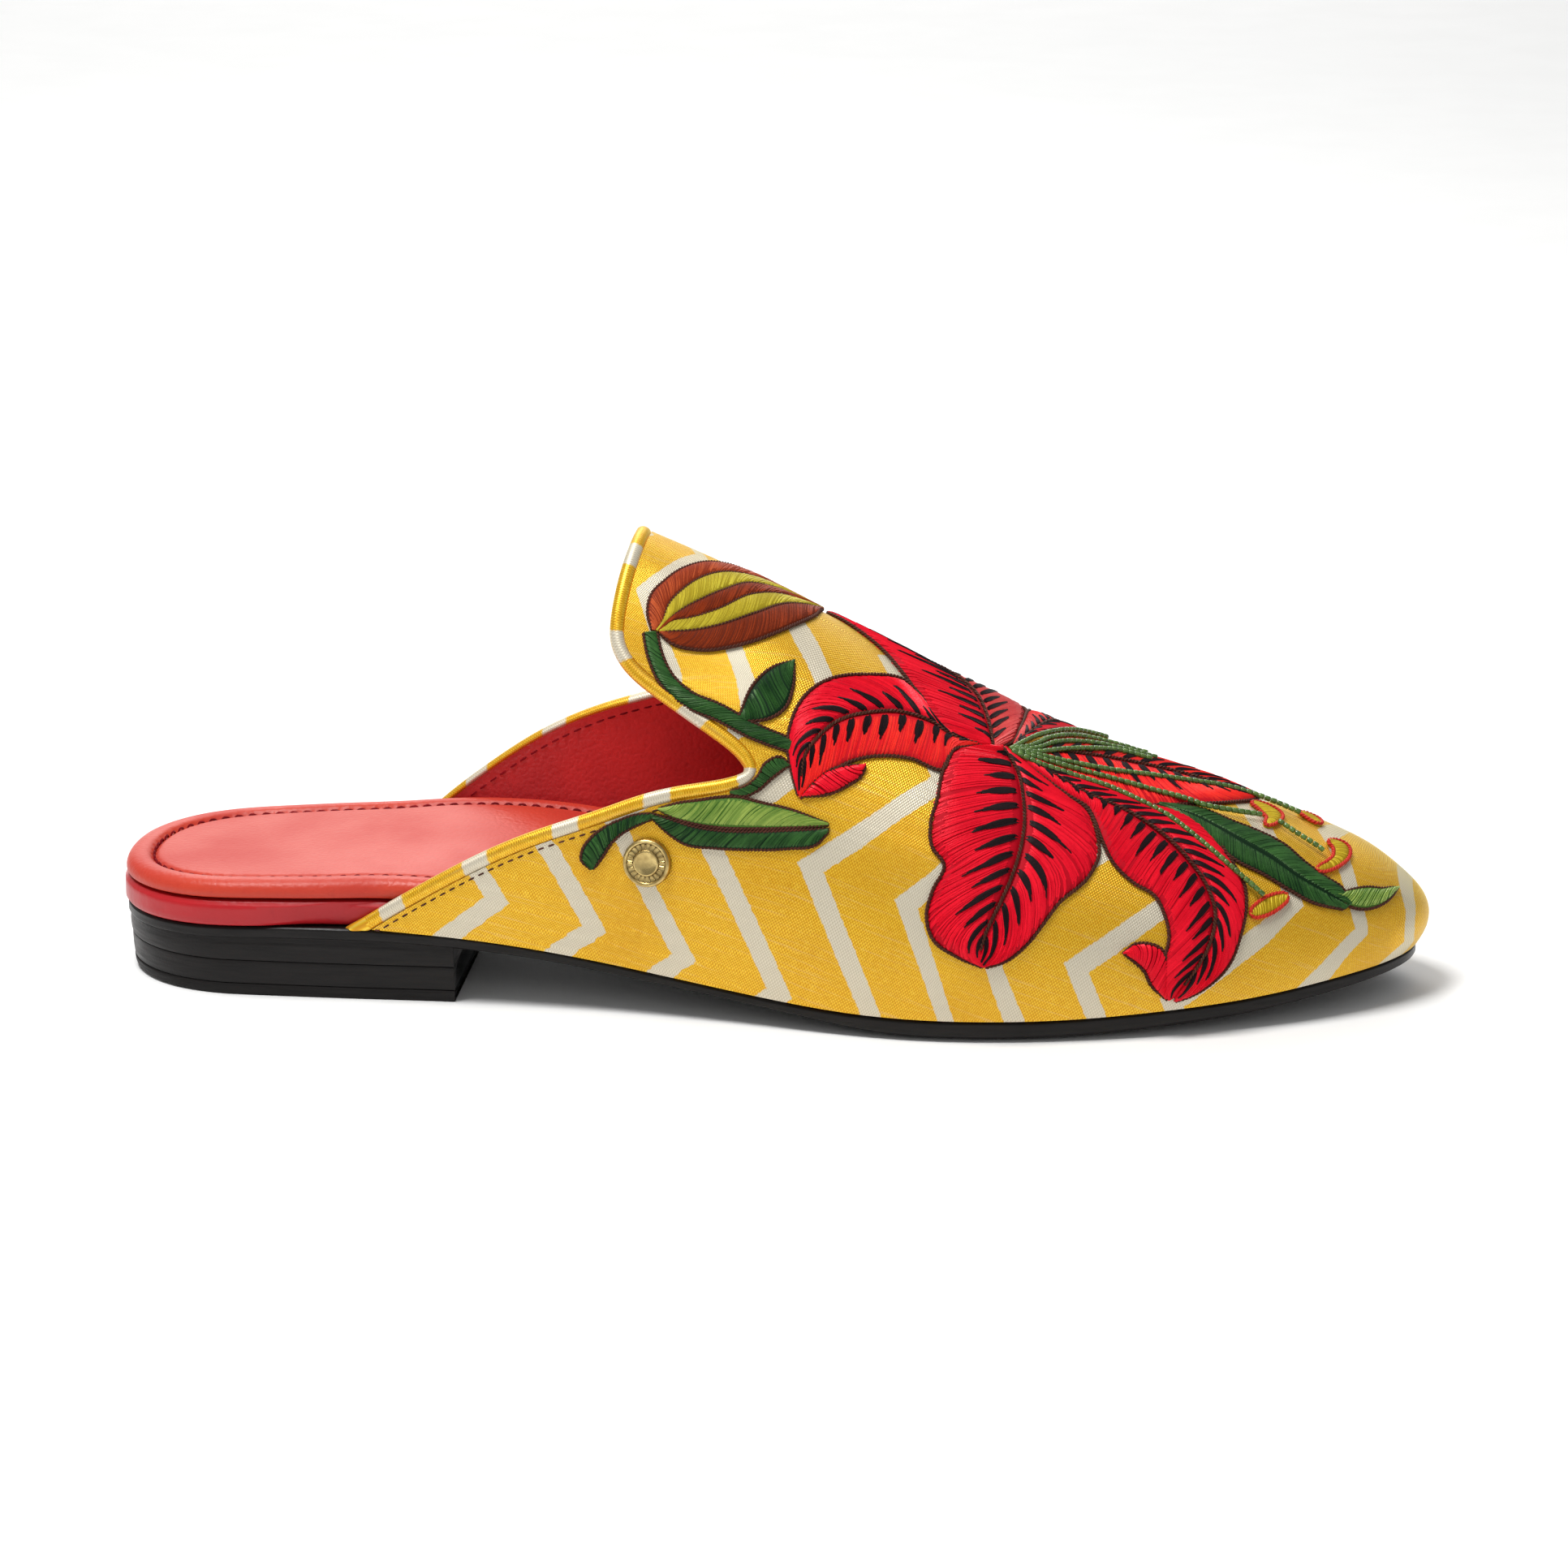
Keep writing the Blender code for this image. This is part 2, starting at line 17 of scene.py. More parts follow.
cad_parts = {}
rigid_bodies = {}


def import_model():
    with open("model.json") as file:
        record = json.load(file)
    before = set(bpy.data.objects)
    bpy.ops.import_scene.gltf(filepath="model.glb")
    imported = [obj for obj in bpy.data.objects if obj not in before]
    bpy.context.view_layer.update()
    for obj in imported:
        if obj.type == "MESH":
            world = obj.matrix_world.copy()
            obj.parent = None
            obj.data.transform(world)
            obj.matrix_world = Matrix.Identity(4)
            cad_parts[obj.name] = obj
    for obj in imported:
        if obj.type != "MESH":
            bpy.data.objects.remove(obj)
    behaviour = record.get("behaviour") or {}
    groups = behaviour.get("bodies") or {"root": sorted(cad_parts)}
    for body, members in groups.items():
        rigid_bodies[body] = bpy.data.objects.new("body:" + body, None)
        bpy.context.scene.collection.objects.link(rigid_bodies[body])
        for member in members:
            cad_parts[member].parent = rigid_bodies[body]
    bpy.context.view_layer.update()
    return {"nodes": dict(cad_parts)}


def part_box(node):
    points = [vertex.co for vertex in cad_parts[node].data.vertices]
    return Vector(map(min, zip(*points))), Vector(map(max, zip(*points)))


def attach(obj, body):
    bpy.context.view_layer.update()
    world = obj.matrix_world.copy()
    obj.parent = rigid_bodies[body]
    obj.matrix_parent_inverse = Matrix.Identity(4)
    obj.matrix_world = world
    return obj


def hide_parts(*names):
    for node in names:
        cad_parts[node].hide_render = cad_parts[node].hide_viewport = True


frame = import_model()
MM = 0.001
for node_name in frame["nodes"]:
    low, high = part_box(node_name)
    print(node_name, [round((b - a) / MM, 1) for a, b in zip(low, high)], "mm")

# %% [markdown]
# ## Camera, floor and lamps
# A shoe is shown from its outer side, a little from above, with a long lens so that its lines stay
# true. A wide pale floor has no corner in view, so it gives one even ground. Large soft lamps light
# it: one above for the sheen along the top, one in front for the cloth, and three behind. Of these a
# low one grazes the padded insole and a high one keeps the far floor as pale as the near.

# %% Camera
CAMERA_TURN = math.radians(5.5)
CAMERA_RISE = math.radians(16)
CAMERA_DISTANCE = 1.18
LOOK_AT = Vector((0.0022, 0.0017, 0.0382))
CAMERA_LENS = 137.1
SENSOR_WIDTH = 36
NEAREST_SEEN = 0.05

camera_data = bpy.data.cameras.new("camera")
camera_data.lens = CAMERA_LENS
camera_data.sensor_width = SENSOR_WIDTH
camera_data.clip_start = NEAREST_SEEN
camera = bpy.data.objects.new("camera", camera_data)
bpy.context.scene.collection.objects.link(camera)
outward = Vector((math.sin(CAMERA_TURN) * math.cos(CAMERA_RISE),
                  -math.cos(CAMERA_TURN) * math.cos(CAMERA_RISE), math.sin(CAMERA_RISE)))
camera.location = LOOK_AT + outward * CAMERA_DISTANCE
camera.rotation_euler = outward.to_track_quat("Z", "Y").to_euler()
bpy.context.scene.camera = camera
bpy.context.scene.view_settings.view_transform = "Standard"
print("camera at", [round(c, 3) for c in camera.location])

# %% [markdown]
# ## Tools for finishes
# Every finish is a small web of nodes around one shader. Short helpers keep the webs readable: a
# colour is given as it looks on a screen, and a node's input takes a number or another output.

# %% Colours and node helpers
MIX_SHARE, MIX_FIRST, MIX_SECOND, MIX_RESULT = 0, 6, 7, 2


def linear(red, green, blue):
    """a colour given as screen values from 0 to 255, as the linear light that a shader wants"""
    shares = [value / 255 for value in (red, green, blue)]
    return tuple(s / 12.92 if s <= 0.04045 else ((s + 0.055) / 1.055) ** 2.4 for s in shares)


def feed(tree, socket, value):
    """gives a socket a number, a screen colour or another node's output"""
    if isinstance(value, bpy.types.NodeSocket):
        tree.links.new(value, socket)
    elif socket.type == "RGBA":
        socket.default_value = (*linear(*value), 1)
    else:
        socket.default_value = value


def feed_shader(tree, shader, **sockets):
    """feeds a shader's sockets by their names, written with _ for a space"""
    for socket, value in sockets.items():
        feed(tree, shader.inputs[socket.replace("_", " ")], value)


def new_finish(name, colour, roughness, **sockets):
    """a new material with one shader: (the material, its node tree, the shader)"""
    material = bpy.data.materials.new(name)
    material.use_nodes = True
    tree = material.node_tree
    shader = tree.nodes["Principled BSDF"]
    feed_shader(tree, shader, Base_Color=colour, Roughness=roughness, **sockets)
    return material, tree, shader


def node(tree, kind, inputs=None, **settings):
    """one new node with its inputs fed"""
    made = tree.nodes.new("ShaderNode" + kind)
    for setting, value in settings.items():
        setattr(made, setting, value)
    for socket, value in (inputs or {}).items():
        feed(tree, made.inputs[socket], value)
    return made


def sums(tree, operation, *values):
    """the result of one arithmetic node"""
    return node(tree, "Math", dict(enumerate(values)), operation=operation).outputs[0]


def blend_colours(tree, share, first, second):
    """first where share is 0, second where it is 1"""
    mixed = node(tree, "Mix", data_type="RGBA")
    for index, value in ((MIX_SHARE, share), (MIX_FIRST, first), (MIX_SECOND, second)):
        feed(tree, mixed.inputs[index], value)
    return mixed.outputs[MIX_RESULT]


def spread(tree, value, low, high, to_low=0.0, to_high=1.0):
    """maps low..high to to_low..to_high and holds the ends"""
    inputs = {"Value": value, "From Min": low, "From Max": high, "To Min": to_low, "To Max": to_high}
    return node(tree, "MapRange", inputs).outputs[0]


def laid_over(tree, under, over, value, low, high, least=0.0, most=1.0):
    """a colour over another: least of it where value is low, most of it where value is high"""
    return blend_colours(tree, spread(tree, value, low, high, least, most), under, over)


def place_of(tree):
    """each point's place in the shoe's own metres"""
    return node(tree, "TexCoord").outputs["Object"]


def noise(tree, place, size, detail=3.0):
    """soft random grey from 0 to 1, its blotches about size metres wide"""
    inputs = {"Vector": place, "Scale": 1 / size, "Detail": detail}
    return node(tree, "TexNoise", inputs).outputs[0]


def streaks(tree, place, scale, size):
    """noise whose blotches are stretched: the place is scaled along its axes first"""
    return noise(tree, node(tree, "Mapping", {"Vector": place, "Scale": scale}).outputs[0], size)


def raise_surface(tree, shader, *layers):
    """bumps, one over the other: each layer is a height from 0 to 1 and its depth in metres"""
    under = None
    for height, depth in layers:
        inputs = {"Height": height, "Distance": depth, "Strength": 1.0}
        if under:
            inputs["Normal"] = under
        under = node(tree, "Bump", inputs).outputs[0]
    tree.links.new(under, shader.inputs["Normal"])


# %% Floor and lamps
FLOOR_SIZE = 9.0
# each lamp: its name, place, width and watts
LAMPS = (("lamp_key", (-0.28, -0.16, 1.0), 0.4, 9.7),
         ("lamp_back", (-0.25, 0.75, 0.75), 0.5, 2.0),
         ("lamp_front", (0.2, -1.3, 0.6), 0.8, 1.3),
         ("lamp_low", (-0.3, 1.5, 0.5), 1.2, 4.0),
         ("lamp_ground", (0.0, 1.6, 1.5), 1.4, 7.0))
ROOM_GLOW = 0.3

bpy.ops.mesh.primitive_plane_add(size=FLOOR_SIZE)
floor = bpy.context.object
floor.name = "floor"
floor_paper, tree, shader = new_finish("floor_paper", (253, 253, 252), 0.8, Specular_IOR_Level=0.2)
grain = noise(tree, place_of(tree), 0.03)
paper = laid_over(tree, (252, 252, 251), (254, 254, 253), grain, 0.35, 0.65)
feed_shader(tree, shader, Base_Color=paper)
floor.data.materials.append(floor_paper)


def soft_lamp(name, place, size, watts):
    """a square lamp that faces the middle of the shoe"""
    light = bpy.data.lights.new(name, "AREA")
    light.size = size
    light.energy = watts
    lamp = bpy.data.objects.new(name, light)
    lamp.location = place
    lamp.rotation_euler = (Vector(place) - LOOK_AT).to_track_quat("Z", "Y").to_euler()
    bpy.context.scene.collection.objects.link(lamp)


for lamp_facts in LAMPS:
    soft_lamp(*lamp_facts)

world = bpy.data.worlds.new("soft_room")
world.use_nodes = True
background = world.node_tree.nodes["Background"].inputs
background["Color"].default_value = (1, 1, 1, 1)
background["Strength"].default_value = ROOM_GLOW
bpy.context.scene.world = world

# %% [markdown]
# ## Tools for pieces
# A CAD node is never changed. Where it needs a finer surface, a copy of its mesh is taken, its loose
# triangles are merged and turned back into four-sided faces, and modifiers then round it. Everything
# is deselected before each operator, because an operator acts on all that is selected. The helper
# called editing keeps every visit to edit mode short: it goes in, and always comes out again.

# %% Modelling helpers
WELD = 0.01 * MM
SKIN_RIM = math.radians(50)


def pick(*pieces):
    """selects these pieces alone, the first one active"""
    bpy.ops.object.select_all(action="DESELECT")
    for piece in pieces:
        piece.select_set(True)
    bpy.context.view_layer.objects.active = pieces[0]


@contextmanager
def editing(piece, chosen=None, by=None):
    """edit mode on one piece; chosen is SELECT or DESELECT for all of it, by a kind of element"""
    pick(piece)
    bpy.ops.object.mode_set(mode="EDIT")
    if by:
        bpy.ops.mesh.select_mode(type=by)
    if chosen:
        bpy.ops.mesh.select_all(action=chosen)
    yield
    bpy.ops.object.mode_set(mode="OBJECT")


def choose_faces(piece, wanted):
    """leaves only those faces selected for the next edit that wanted(face) is true for"""
    with editing(piece, "DESELECT", "FACE"):
        pass
    for face in piece.data.polygons:
        face.select = wanted(face)


def copy_of(node_name, name):
    """a merged copy of a CAD node's mesh, with four-sided faces where they fit"""
    piece = bpy.data.objects.new(name, frame["nodes"][node_name].data.copy())
    bpy.context.scene.collection.objects.link(piece)
    piece.data.materials.clear()
    pick(piece)
    bpy.ops.mesh.customdata_custom_splitnormals_clear()
    with editing(piece, "SELECT"):
        bpy.ops.mesh.remove_doubles(threshold=WELD)
        bpy.ops.mesh.tris_convert_to_quads(face_threshold=math.radians(40),
                                           shape_threshold=math.radians(60))
    return piece


def finish_with(piece, kind, **settings):
    """adds one modifier and applies it"""
    pick(piece)
    modifier = piece.modifiers.new(kind.lower(), kind)
    for setting, value in settings.items():
        setattr(modifier, setting, value)
    bpy.ops.object.modifier_apply(modifier=modifier.name)


def round_off(piece, levels):
    """subdivides a piece smoothly, keeping the corners of an open edge"""
    finish_with(piece, "SUBSURF", levels=levels, render_levels=levels,
                boundary_smooth="PRESERVE_CORNERS")


def swell(piece, distance):
    """pushes the whole surface of a piece outward by this many metres"""
    with editing(piece, "SELECT"):
        bpy.ops.transform.shrink_fatten(value=distance)


def keep_skin(piece, score):
    """keeps the one skin between sharp edges that holds the face with the highest score"""
    with editing(piece, "DESELECT", "EDGE"):
        bpy.ops.mesh.edges_select_sharp(sharpness=SKIN_RIM)
        bpy.ops.mesh.mark_sharp()
    best = max(piece.data.polygons, key=score).index
    choose_faces(piece, lambda face: face.index == best)
    with editing(piece):
        bpy.ops.mesh.select_linked(delimit={"SHARP"})
        bpy.ops.mesh.select_all(action="INVERT")
        bpy.ops.mesh.delete(type="FACE")
        bpy.ops.mesh.select_all(action="SELECT")
        bpy.ops.mesh.mark_sharp(clear=True)


def corners_of(piece):
    """the places of a piece's vertices, one row each"""
    return np.array([vertex.co for vertex in piece.data.vertices], float)


def move_corners(piece, places):
    """puts a piece's vertices in new places"""
    piece.data.vertices.foreach_set("co", places.ravel())
    piece.data.update()


def tree_of(piece):
    """a search tree for rays and nearest points on a piece"""
    faces = [list(face.vertices) for face in piece.data.polygons]
    return BVHTree.FromPolygons([vertex.co for vertex in piece.data.vertices], faces)


def settle(piece, material, slot, *replaced, sharp=40):
    """gives the finished piece its material and its body; slot is not used"""
    pick(piece)
    bpy.ops.object.shade_smooth_by_angle(angle=math.radians(sharp))
    piece.data.materials.clear()
    piece.data.materials.append(material)
    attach(piece, "root")
    if replaced:
        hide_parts(*replaced)
    triangles = sum(len(face.vertices) - 2 for face in piece.data.polygons)
    print(piece.name, triangles, "triangles")
    return piece

# %% [markdown]
# ## Sole, heel lifts and top piece
# The sole is cut from firm leather and the low heel is a stack of leather lifts on a rubber top
# piece. All are trimmed flush, inked black and polished. The CAD solids have the right forms with
# flat facets, so each is copied, its sharp edges are creased, it is subdivided, and the edges get a
# fine bevel that catches the light as a worn edge does.

# %% Copies with round outlines and worn edges
CREASE_FROM = math.radians(35)
BEVEL_FROM = math.radians(40)


def rounded_copy(node_name, name, bevel, swollen=0.0):
    """a CAD node, swollen a little to close a seam, facets rounded, edges bevelled; in metres"""
    piece = copy_of(node_name, name)
    if swollen:
        swell(piece, swollen)
    with editing(piece, "DESELECT", "EDGE"):
        bpy.ops.mesh.edges_select_sharp(sharpness=CREASE_FROM)
        bpy.ops.transform.edge_crease(value=1)
    round_off(piece, 2)
    finish_with(piece, "BEVEL", width=bevel, segments=2, limit_method="ANGLE",
                angle_limit=BEVEL_FROM)
    corners = corners_of(piece)
    corners[:, 2] = np.maximum(corners[:, 2], 0)
    move_corners(piece, corners)
    return piece


def inked_leather(name, colour, shine):
    """black edge ink: fine lines along the edge, soft blotches and rubbed spots"""
    material, tree, shader = new_finish(name, colour, shine, Specular_IOR_Level=0.22)
    place = place_of(tree)
    lines = streaks(tree, place, (0.08, 0.08, 1.0), 0.0006)
    blotches = noise(tree, place, 0.012)
    pores = noise(tree, place, 0.0005)
    ink = laid_over(tree, colour, [c * 1.5 for c in colour], blotches, 0.55, 0.75, 0.0, 0.5)
    ink = laid_over(tree, ink, (12, 11, 11), lines, 0.35, 0.65, 0.0, 0.5)
    rough = spread(tree, sums(tree, "ADD", blotches, lines), 0.7, 1.3, shine - 0.08, shine + 0.16)
    feed_shader(tree, shader, Base_Color=ink, Roughness=rough)
    raise_surface(tree, shader, (lines, 0.00006), (pores, 0.00003))
    return material


sole_ink = inked_leather("sole_ink", (24, 21, 20), 0.34)
heel_ink = inked_leather("heel_ink", (22, 19, 18), 0.36)
top_piece_rubber = inked_leather("top_piece_rubber", (22, 19, 18), 0.5)

# %% Sole, lifts and top piece
PRESS_REACH = 4 * MM
PRESS_GAP = 0.02 * MM
LIFT_TOP = 10 * MM

sole = rounded_copy("outsole", "sole", 0.3 * MM)
settle(sole, sole_ink, "sole_black", "outsole")
sole_tree = tree_of(sole)
upper_lift = rounded_copy("heel_lift_upper", "upper_lift", 0.12 * MM, 0.15 * MM)
top = corners_of(upper_lift)[:, 2].max()   # the upper lift's top is pressed to the arched sole
for vertex in upper_lift.data.vertices:
    below = vertex.co - Vector((0, 0, PRESS_REACH))
    hit = sole_tree.ray_cast(below, Vector((0, 0, 1)), 2 * PRESS_REACH)[0]
    if hit and vertex.normal.z > 0.3 and vertex.co.z > top - LIFT_TOP:
        vertex.co.z = hit.z + PRESS_GAP
settle(upper_lift, heel_ink, "heel_black", "heel_lift_upper")
lower_lift = rounded_copy("heel_lift_lower", "lower_lift", 0.12 * MM, 0.13 * MM)
settle(lower_lift, heel_ink, "heel_black", "heel_lift_lower")
top_piece = rounded_copy("heel_top_piece", "top_piece", 0.2 * MM, 0.13 * MM)
settle(top_piece, top_piece_rubber, "top_piece_rubber", "heel_top_piece")

# %% [markdown]
# ## Leathers
# Three red leathers meet at the heel: a glossy wrap round the board's edge, a soft coral sock over
# padding and a deeper red lining. Leather grain is made of small cells with soft walls, so a Voronoi
# pattern gives the cells and two noises break its evenness. Only the colour, depth and shine differ.

# %% One leather, three colours
def leather(name, colour, shade, shine, cell, depth, **sockets):
    """smooth leather: grain cells of this size and depth in metres, mottled towards the shade"""
    material, tree, shader = new_finish(name, colour, shine, **sockets)
    place = place_of(tree)
    wobble = node(tree, "TexNoise", {"Vector": place, "Scale": 0.4 / cell, "Detail": 2.0})
    nudge = node(tree, "VectorMath", {0: wobble.outputs[1], "Scale": cell * 0.8}, operation="SCALE")
    shifted = node(tree, "VectorMath", {0: place, 1: nudge.outputs[0]}, operation="ADD").outputs[0]
    cells = node(tree, "TexVoronoi", {"Vector": shifted, "Scale": 1 / cell},
                 feature="SMOOTH_F1").outputs["Distance"]
    walls = spread(tree, cells, 0.25, 0.75, 1.0, 0.0)
    blotches = noise(tree, place, 0.02)
    fine = noise(tree, place, cell * 0.4)
    skin = laid_over(tree, colour, shade, blotches, 0.35, 0.7, 0.0, 0.6)
    skin = laid_over(tree, skin, shade, walls, 0.0, 0.35, 0.25, 0.0)
    rough = spread(tree, blotches, 0.3, 0.7, shine - 0.06, shine + 0.1)
    feed_shader(tree, shader, Base_Color=skin, Roughness=rough)
    raise_surface(tree, shader, (walls, depth), (fine, depth * 0.6))
    return material


rand_leather = leather("rand_leather", (186, 28, 36), (160, 20, 28), 0.34, 0.0012, 0.00003,
                       Coat_Weight=0.05, Coat_Roughness=0.2, Specular_IOR_Level=0.35)
sock_leather = leather("sock_leather", (200, 66, 46), (184, 46, 38), 0.4, 0.0008, 0.00004,
                       Specular_IOR_Level=0.3)
lining_leather = leather("lining_leather", (226, 62, 66), (172, 28, 40), 0.32, 0.0007, 0.00005,
                         Specular_IOR_Level=0.8)

board = rounded_copy("insole_board", "board", 0.3 * MM)
settle(board, rand_leather, "rand_leather", "insole_board")

# %% [markdown]
# ## The upper's skins
# The upper is one shell in CAD, but a shoemaker makes it of two layers: satin outside, leather
# inside. A copy of the shell is cut down to one skin at its sharp rims, subdivided until it is
# smooth, and given its own thickness. The outer skin is also what all the needlework is laid on.

# %% Outer and inner skin
MIDDLE_Y = 0.0017
SATIN_THICKNESS = 0.8 * MM
LINING_THICKNESS = 0.8 * MM


def open_edge(piece):
    """the places along the open edge of a skin, in order"""
    counts = {}
    for face in piece.data.polygons:
        for key in face.edge_keys:
            counts[key] = counts.get(key, 0) + 1
    neighbours = {}
    for (a, b), count in counts.items():
        if count == 1:
            neighbours.setdefault(a, []).append(b)
            neighbours.setdefault(b, []).append(a)
    first = min(neighbours)
    walk = [first, neighbours[first][0]]
    while walk[-1] != first:
        walk.append([n for n in neighbours[walk[-1]] if n != walk[-2]][0])
    return np.array([piece.data.vertices[i].co for i in walk[:-1]], float)


def collar_line(piece):
    """the open edge from the outer rear tip up over the tab to the inner rear tip"""
    edge = open_edge(piece)
    outer_tip = np.argmin(edge[:, 0] + (edge[:, 1] > MIDDLE_Y))
    edge = np.roll(edge, -outer_tip, axis=0)
    inner_tip = np.argmin(edge[:, 0] + (edge[:, 1] < MIDDLE_Y))
    one_way, other_way = edge[:inner_tip + 1], np.concatenate([edge[:1], edge[inner_tip:][::-1]])
    return one_way if one_way[:, 2].mean() > other_way[:, 2].mean() else other_way


satin_upper = copy_of("upper", "satin_upper")
keep_skin(satin_upper, lambda face: face.center.z + 0.02 * face.normal.z)
round_off(satin_upper, 2)
skin_tree = tree_of(satin_upper)
skin_corners = corners_of(satin_upper)
satin_collar = collar_line(satin_upper)

lining = copy_of("upper", "lining")
keep_skin(lining, lambda face: face.center.z - 0.02 * face.normal.z)
round_off(lining, 1)
lining_tree = tree_of(lining)
lining_collar = collar_line(lining)
print("outer skin", len(satin_upper.data.polygons), "inner skin", len(lining.data.polygons))

# %% [markdown]
# ## A flat chart of the upper
# A pattern cutter works flat, so the needlework needs two flat coordinates: the station, in
# millimetres along the shoe from the back of the sole, and the rise, in millimetres over the cloth
# from the outer edge of the sole up to the ridge and down the inner side. Rays shot at the skin from
# all round find one row of points for each station, and a table of rows turns flat into round.

# %% Rows of points over the skin
TINY = 1e-12
HEEL_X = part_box("outsole")[0].x
ROW_STEP = 1 * MM
ROWS = np.arange(-0.073, 0.1271, ROW_STEP)
RAY_REACH = 0.15
RAY_ANGLES = np.radians(np.concatenate([np.arange(-12, 6, 0.3), np.arange(6, 174, 1.5),
                                        np.arange(174, 193, 0.3)]))
OPEN_GAP = math.radians(4)
FOOT_REACH = 3 * MM


def section(x):
    """one row: its lowest height, and angles and points from the outer edge to the inner one"""
    foot = skin_corners[np.abs(skin_corners[:, 0] - x) < FOOT_REACH][:, 2].min()
    angles, points = [], []
    for angle in RAY_ANGLES:
        direction = Vector((0, -math.cos(angle), math.sin(angle)))
        start = Vector((x, MIDDLE_Y, foot)) + direction * RAY_REACH
        hit, normal, face, distance = skin_tree.ray_cast(start, -direction, RAY_REACH)
        if hit is not None and normal.dot(direction) > 0:
            angles.append(angle)
            points.append(hit)
    return foot, np.array(angles), np.array(points)


def rise_along(angles, points, foot, girth):
    """the rise of each point of a row; a gap over the ridge is made up to the full girth"""
    steps = np.linalg.norm(np.diff(points, axis=0), axis=1)
    gaps = np.diff(angles)
    over_ridge = (gaps > OPEN_GAP) & (angles[:-1] < math.pi / 2) & (angles[1:] > math.pi / 2)
    steps[over_ridge] = max(girth - steps[~over_ridge].sum(), 1 * MM)
    return np.concatenate([[0], np.cumsum(steps)]) + points[0][2] - foot


# %% Measured rows
# behind this station the opening cuts the rows: the girth they would have grows by the slope
FIRST_WHOLE_STATION, GIRTH_THERE, GIRTH_SLOPE = 106, 179.8 * MM, 0.39 * MM
FOOT_BLUR = 9

sections = [section(x) for x in ROWS]
feet = np.array([foot for foot, angles, points in sections])
feet = np.convolve(np.pad(feet, FOOT_BLUR // 2, mode="edge"), np.ones(FOOT_BLUR) / FOOT_BLUR,
                   mode="valid")
rises = []
for x, (foot, angles, points) in zip(ROWS, sections):
    behind = FIRST_WHOLE_STATION - (x - HEEL_X) / MM
    rises.append(rise_along(angles, points, feet[len(rises)], GIRTH_THERE + GIRTH_SLOPE * behind))
girths = np.array([rise[-1] for rise in rises])
ridges = np.array([np.interp(math.pi / 2, angles, rise) if angles[0] < math.pi / 2 else 0
                   for (foot, angles, points), rise in zip(sections, rises)])
print(len(ROWS), "rows, girth at the ball", round(girths[120] / MM), "mm")

# %% From the chart to the skin and back
RISE_STEP = 0.5 * MM
RISES = np.arange(0, 0.185, RISE_STEP)

chart_points = np.array([[np.interp(RISES, rise, points[:, axis]) for axis in range(3)]
                         for (foot, angles, points), rise in zip(sections, rises)])
chart_points = chart_points.transpose(0, 2, 1)
chart_normals = np.cross(np.gradient(chart_points, axis=0), np.gradient(chart_points, axis=1))
lengths = np.linalg.norm(chart_normals, axis=2, keepdims=True)
chart_normals = chart_normals / np.maximum(lengths, TINY)


def from_table(table, station, rise):
    """reads a table of rows between its entries"""
    row = np.clip((np.asarray(station) * MM + HEEL_X - ROWS[0]) / ROW_STEP, 0, len(ROWS) - 1.001)
    column = np.clip(np.asarray(rise) * MM / RISE_STEP, 0, len(RISES) - 1.001)
    i, j = row.astype(int), column.astype(int)
    a, b = (row - i)[..., None], (column - j)[..., None]
    near = table[i, j] * (1 - b) + table[i, j + 1] * b
    far = table[i + 1, j] * (1 - b) + table[i + 1, j + 1] * b
    return near * (1 - a) + far * a


def on_cloth(station, rise, lift=0.0):
    """points over the skin for chart places in millimetres, lifted off it by lift millimetres"""
    points = from_table(chart_points, station, rise)
    normals = from_table(chart_normals, station, rise)
    normals /= np.maximum(np.linalg.norm(normals, axis=-1, keepdims=True), TINY)
    return points + normals * (np.asarray(lift) * MM)[..., None]


def chart_place(point):
    """(row number, rise in metres) of a point on the skin"""
    row = min(max((point[0] - ROWS[0]) / ROW_STEP, 0), len(ROWS) - 1.001)
    found = []
    for i in (int(row), int(row) + 1):
        angle = math.atan2(point[2] - feet[i], MIDDLE_Y - point[1])
        angle += 2 * math.pi if angle < -1 else 0
        found.append(np.interp(angle, sections[i][1], rises[i]))
    share = row - int(row)
    return row, found[0] * (1 - share) + found[1] * share


test = on_cloth(np.array([180.0]), np.array([40.0]))[0]
print("chart 180, 40 is", test / MM, "and back", chart_place(test))

# %% [markdown]
# ## The chevron cloth
# The satin has ivory chevrons on yellow. The folds of the chevrons run along the shoe and come down
# towards the toe, and the vamp is cut with one fold on its centre line, so both sides mirror each
# other. Two pattern coordinates are stored in a UV map: U runs along the folds and V across them,
# both in millimetres. The zigzag, the weave and the sheen are then plain arithmetic on U and V.

# %% Pattern coordinates
# each pair gives stations in millimetres, and what the cloth does there
FOLD_SHIFTS = ((60, 80, 98, 116, 136, 158, 190, 233, 260),
               (13.9, 18.9, 23.7, 29.2, 36.4, 42.8, 54.2, 72.0, 86.0))
NUDGES = ((75, 100, 110, 130, 150, 163, 177, 200, 228, 242, 255, 257.2, 260),
          (-2.1, -2.0, -0.6, -0.5, -1.8, -1.2, 3.0, 2.3, 2.3, 6.0, 12.5, 15.6, 21.0))
SLOPES = ((80, 110, 137), (0.16, 0.2, 0.22))
ACROSS_SHARES = ((110, 137), (1.13, 0.955))
ALONG_SHARE = 0.96
TAB_FRONT, TAB_CLOSER = 135, 0.5
TAB_LOW, TAB_RISE = 52, 16
TIP_STRETCH, TIP_BLEND = 1.2, (0.110, 0.121)
TIP_LOW, TIP_SWEEP = 9.0, 0.65   # stripes sweep back where they come down to the sole


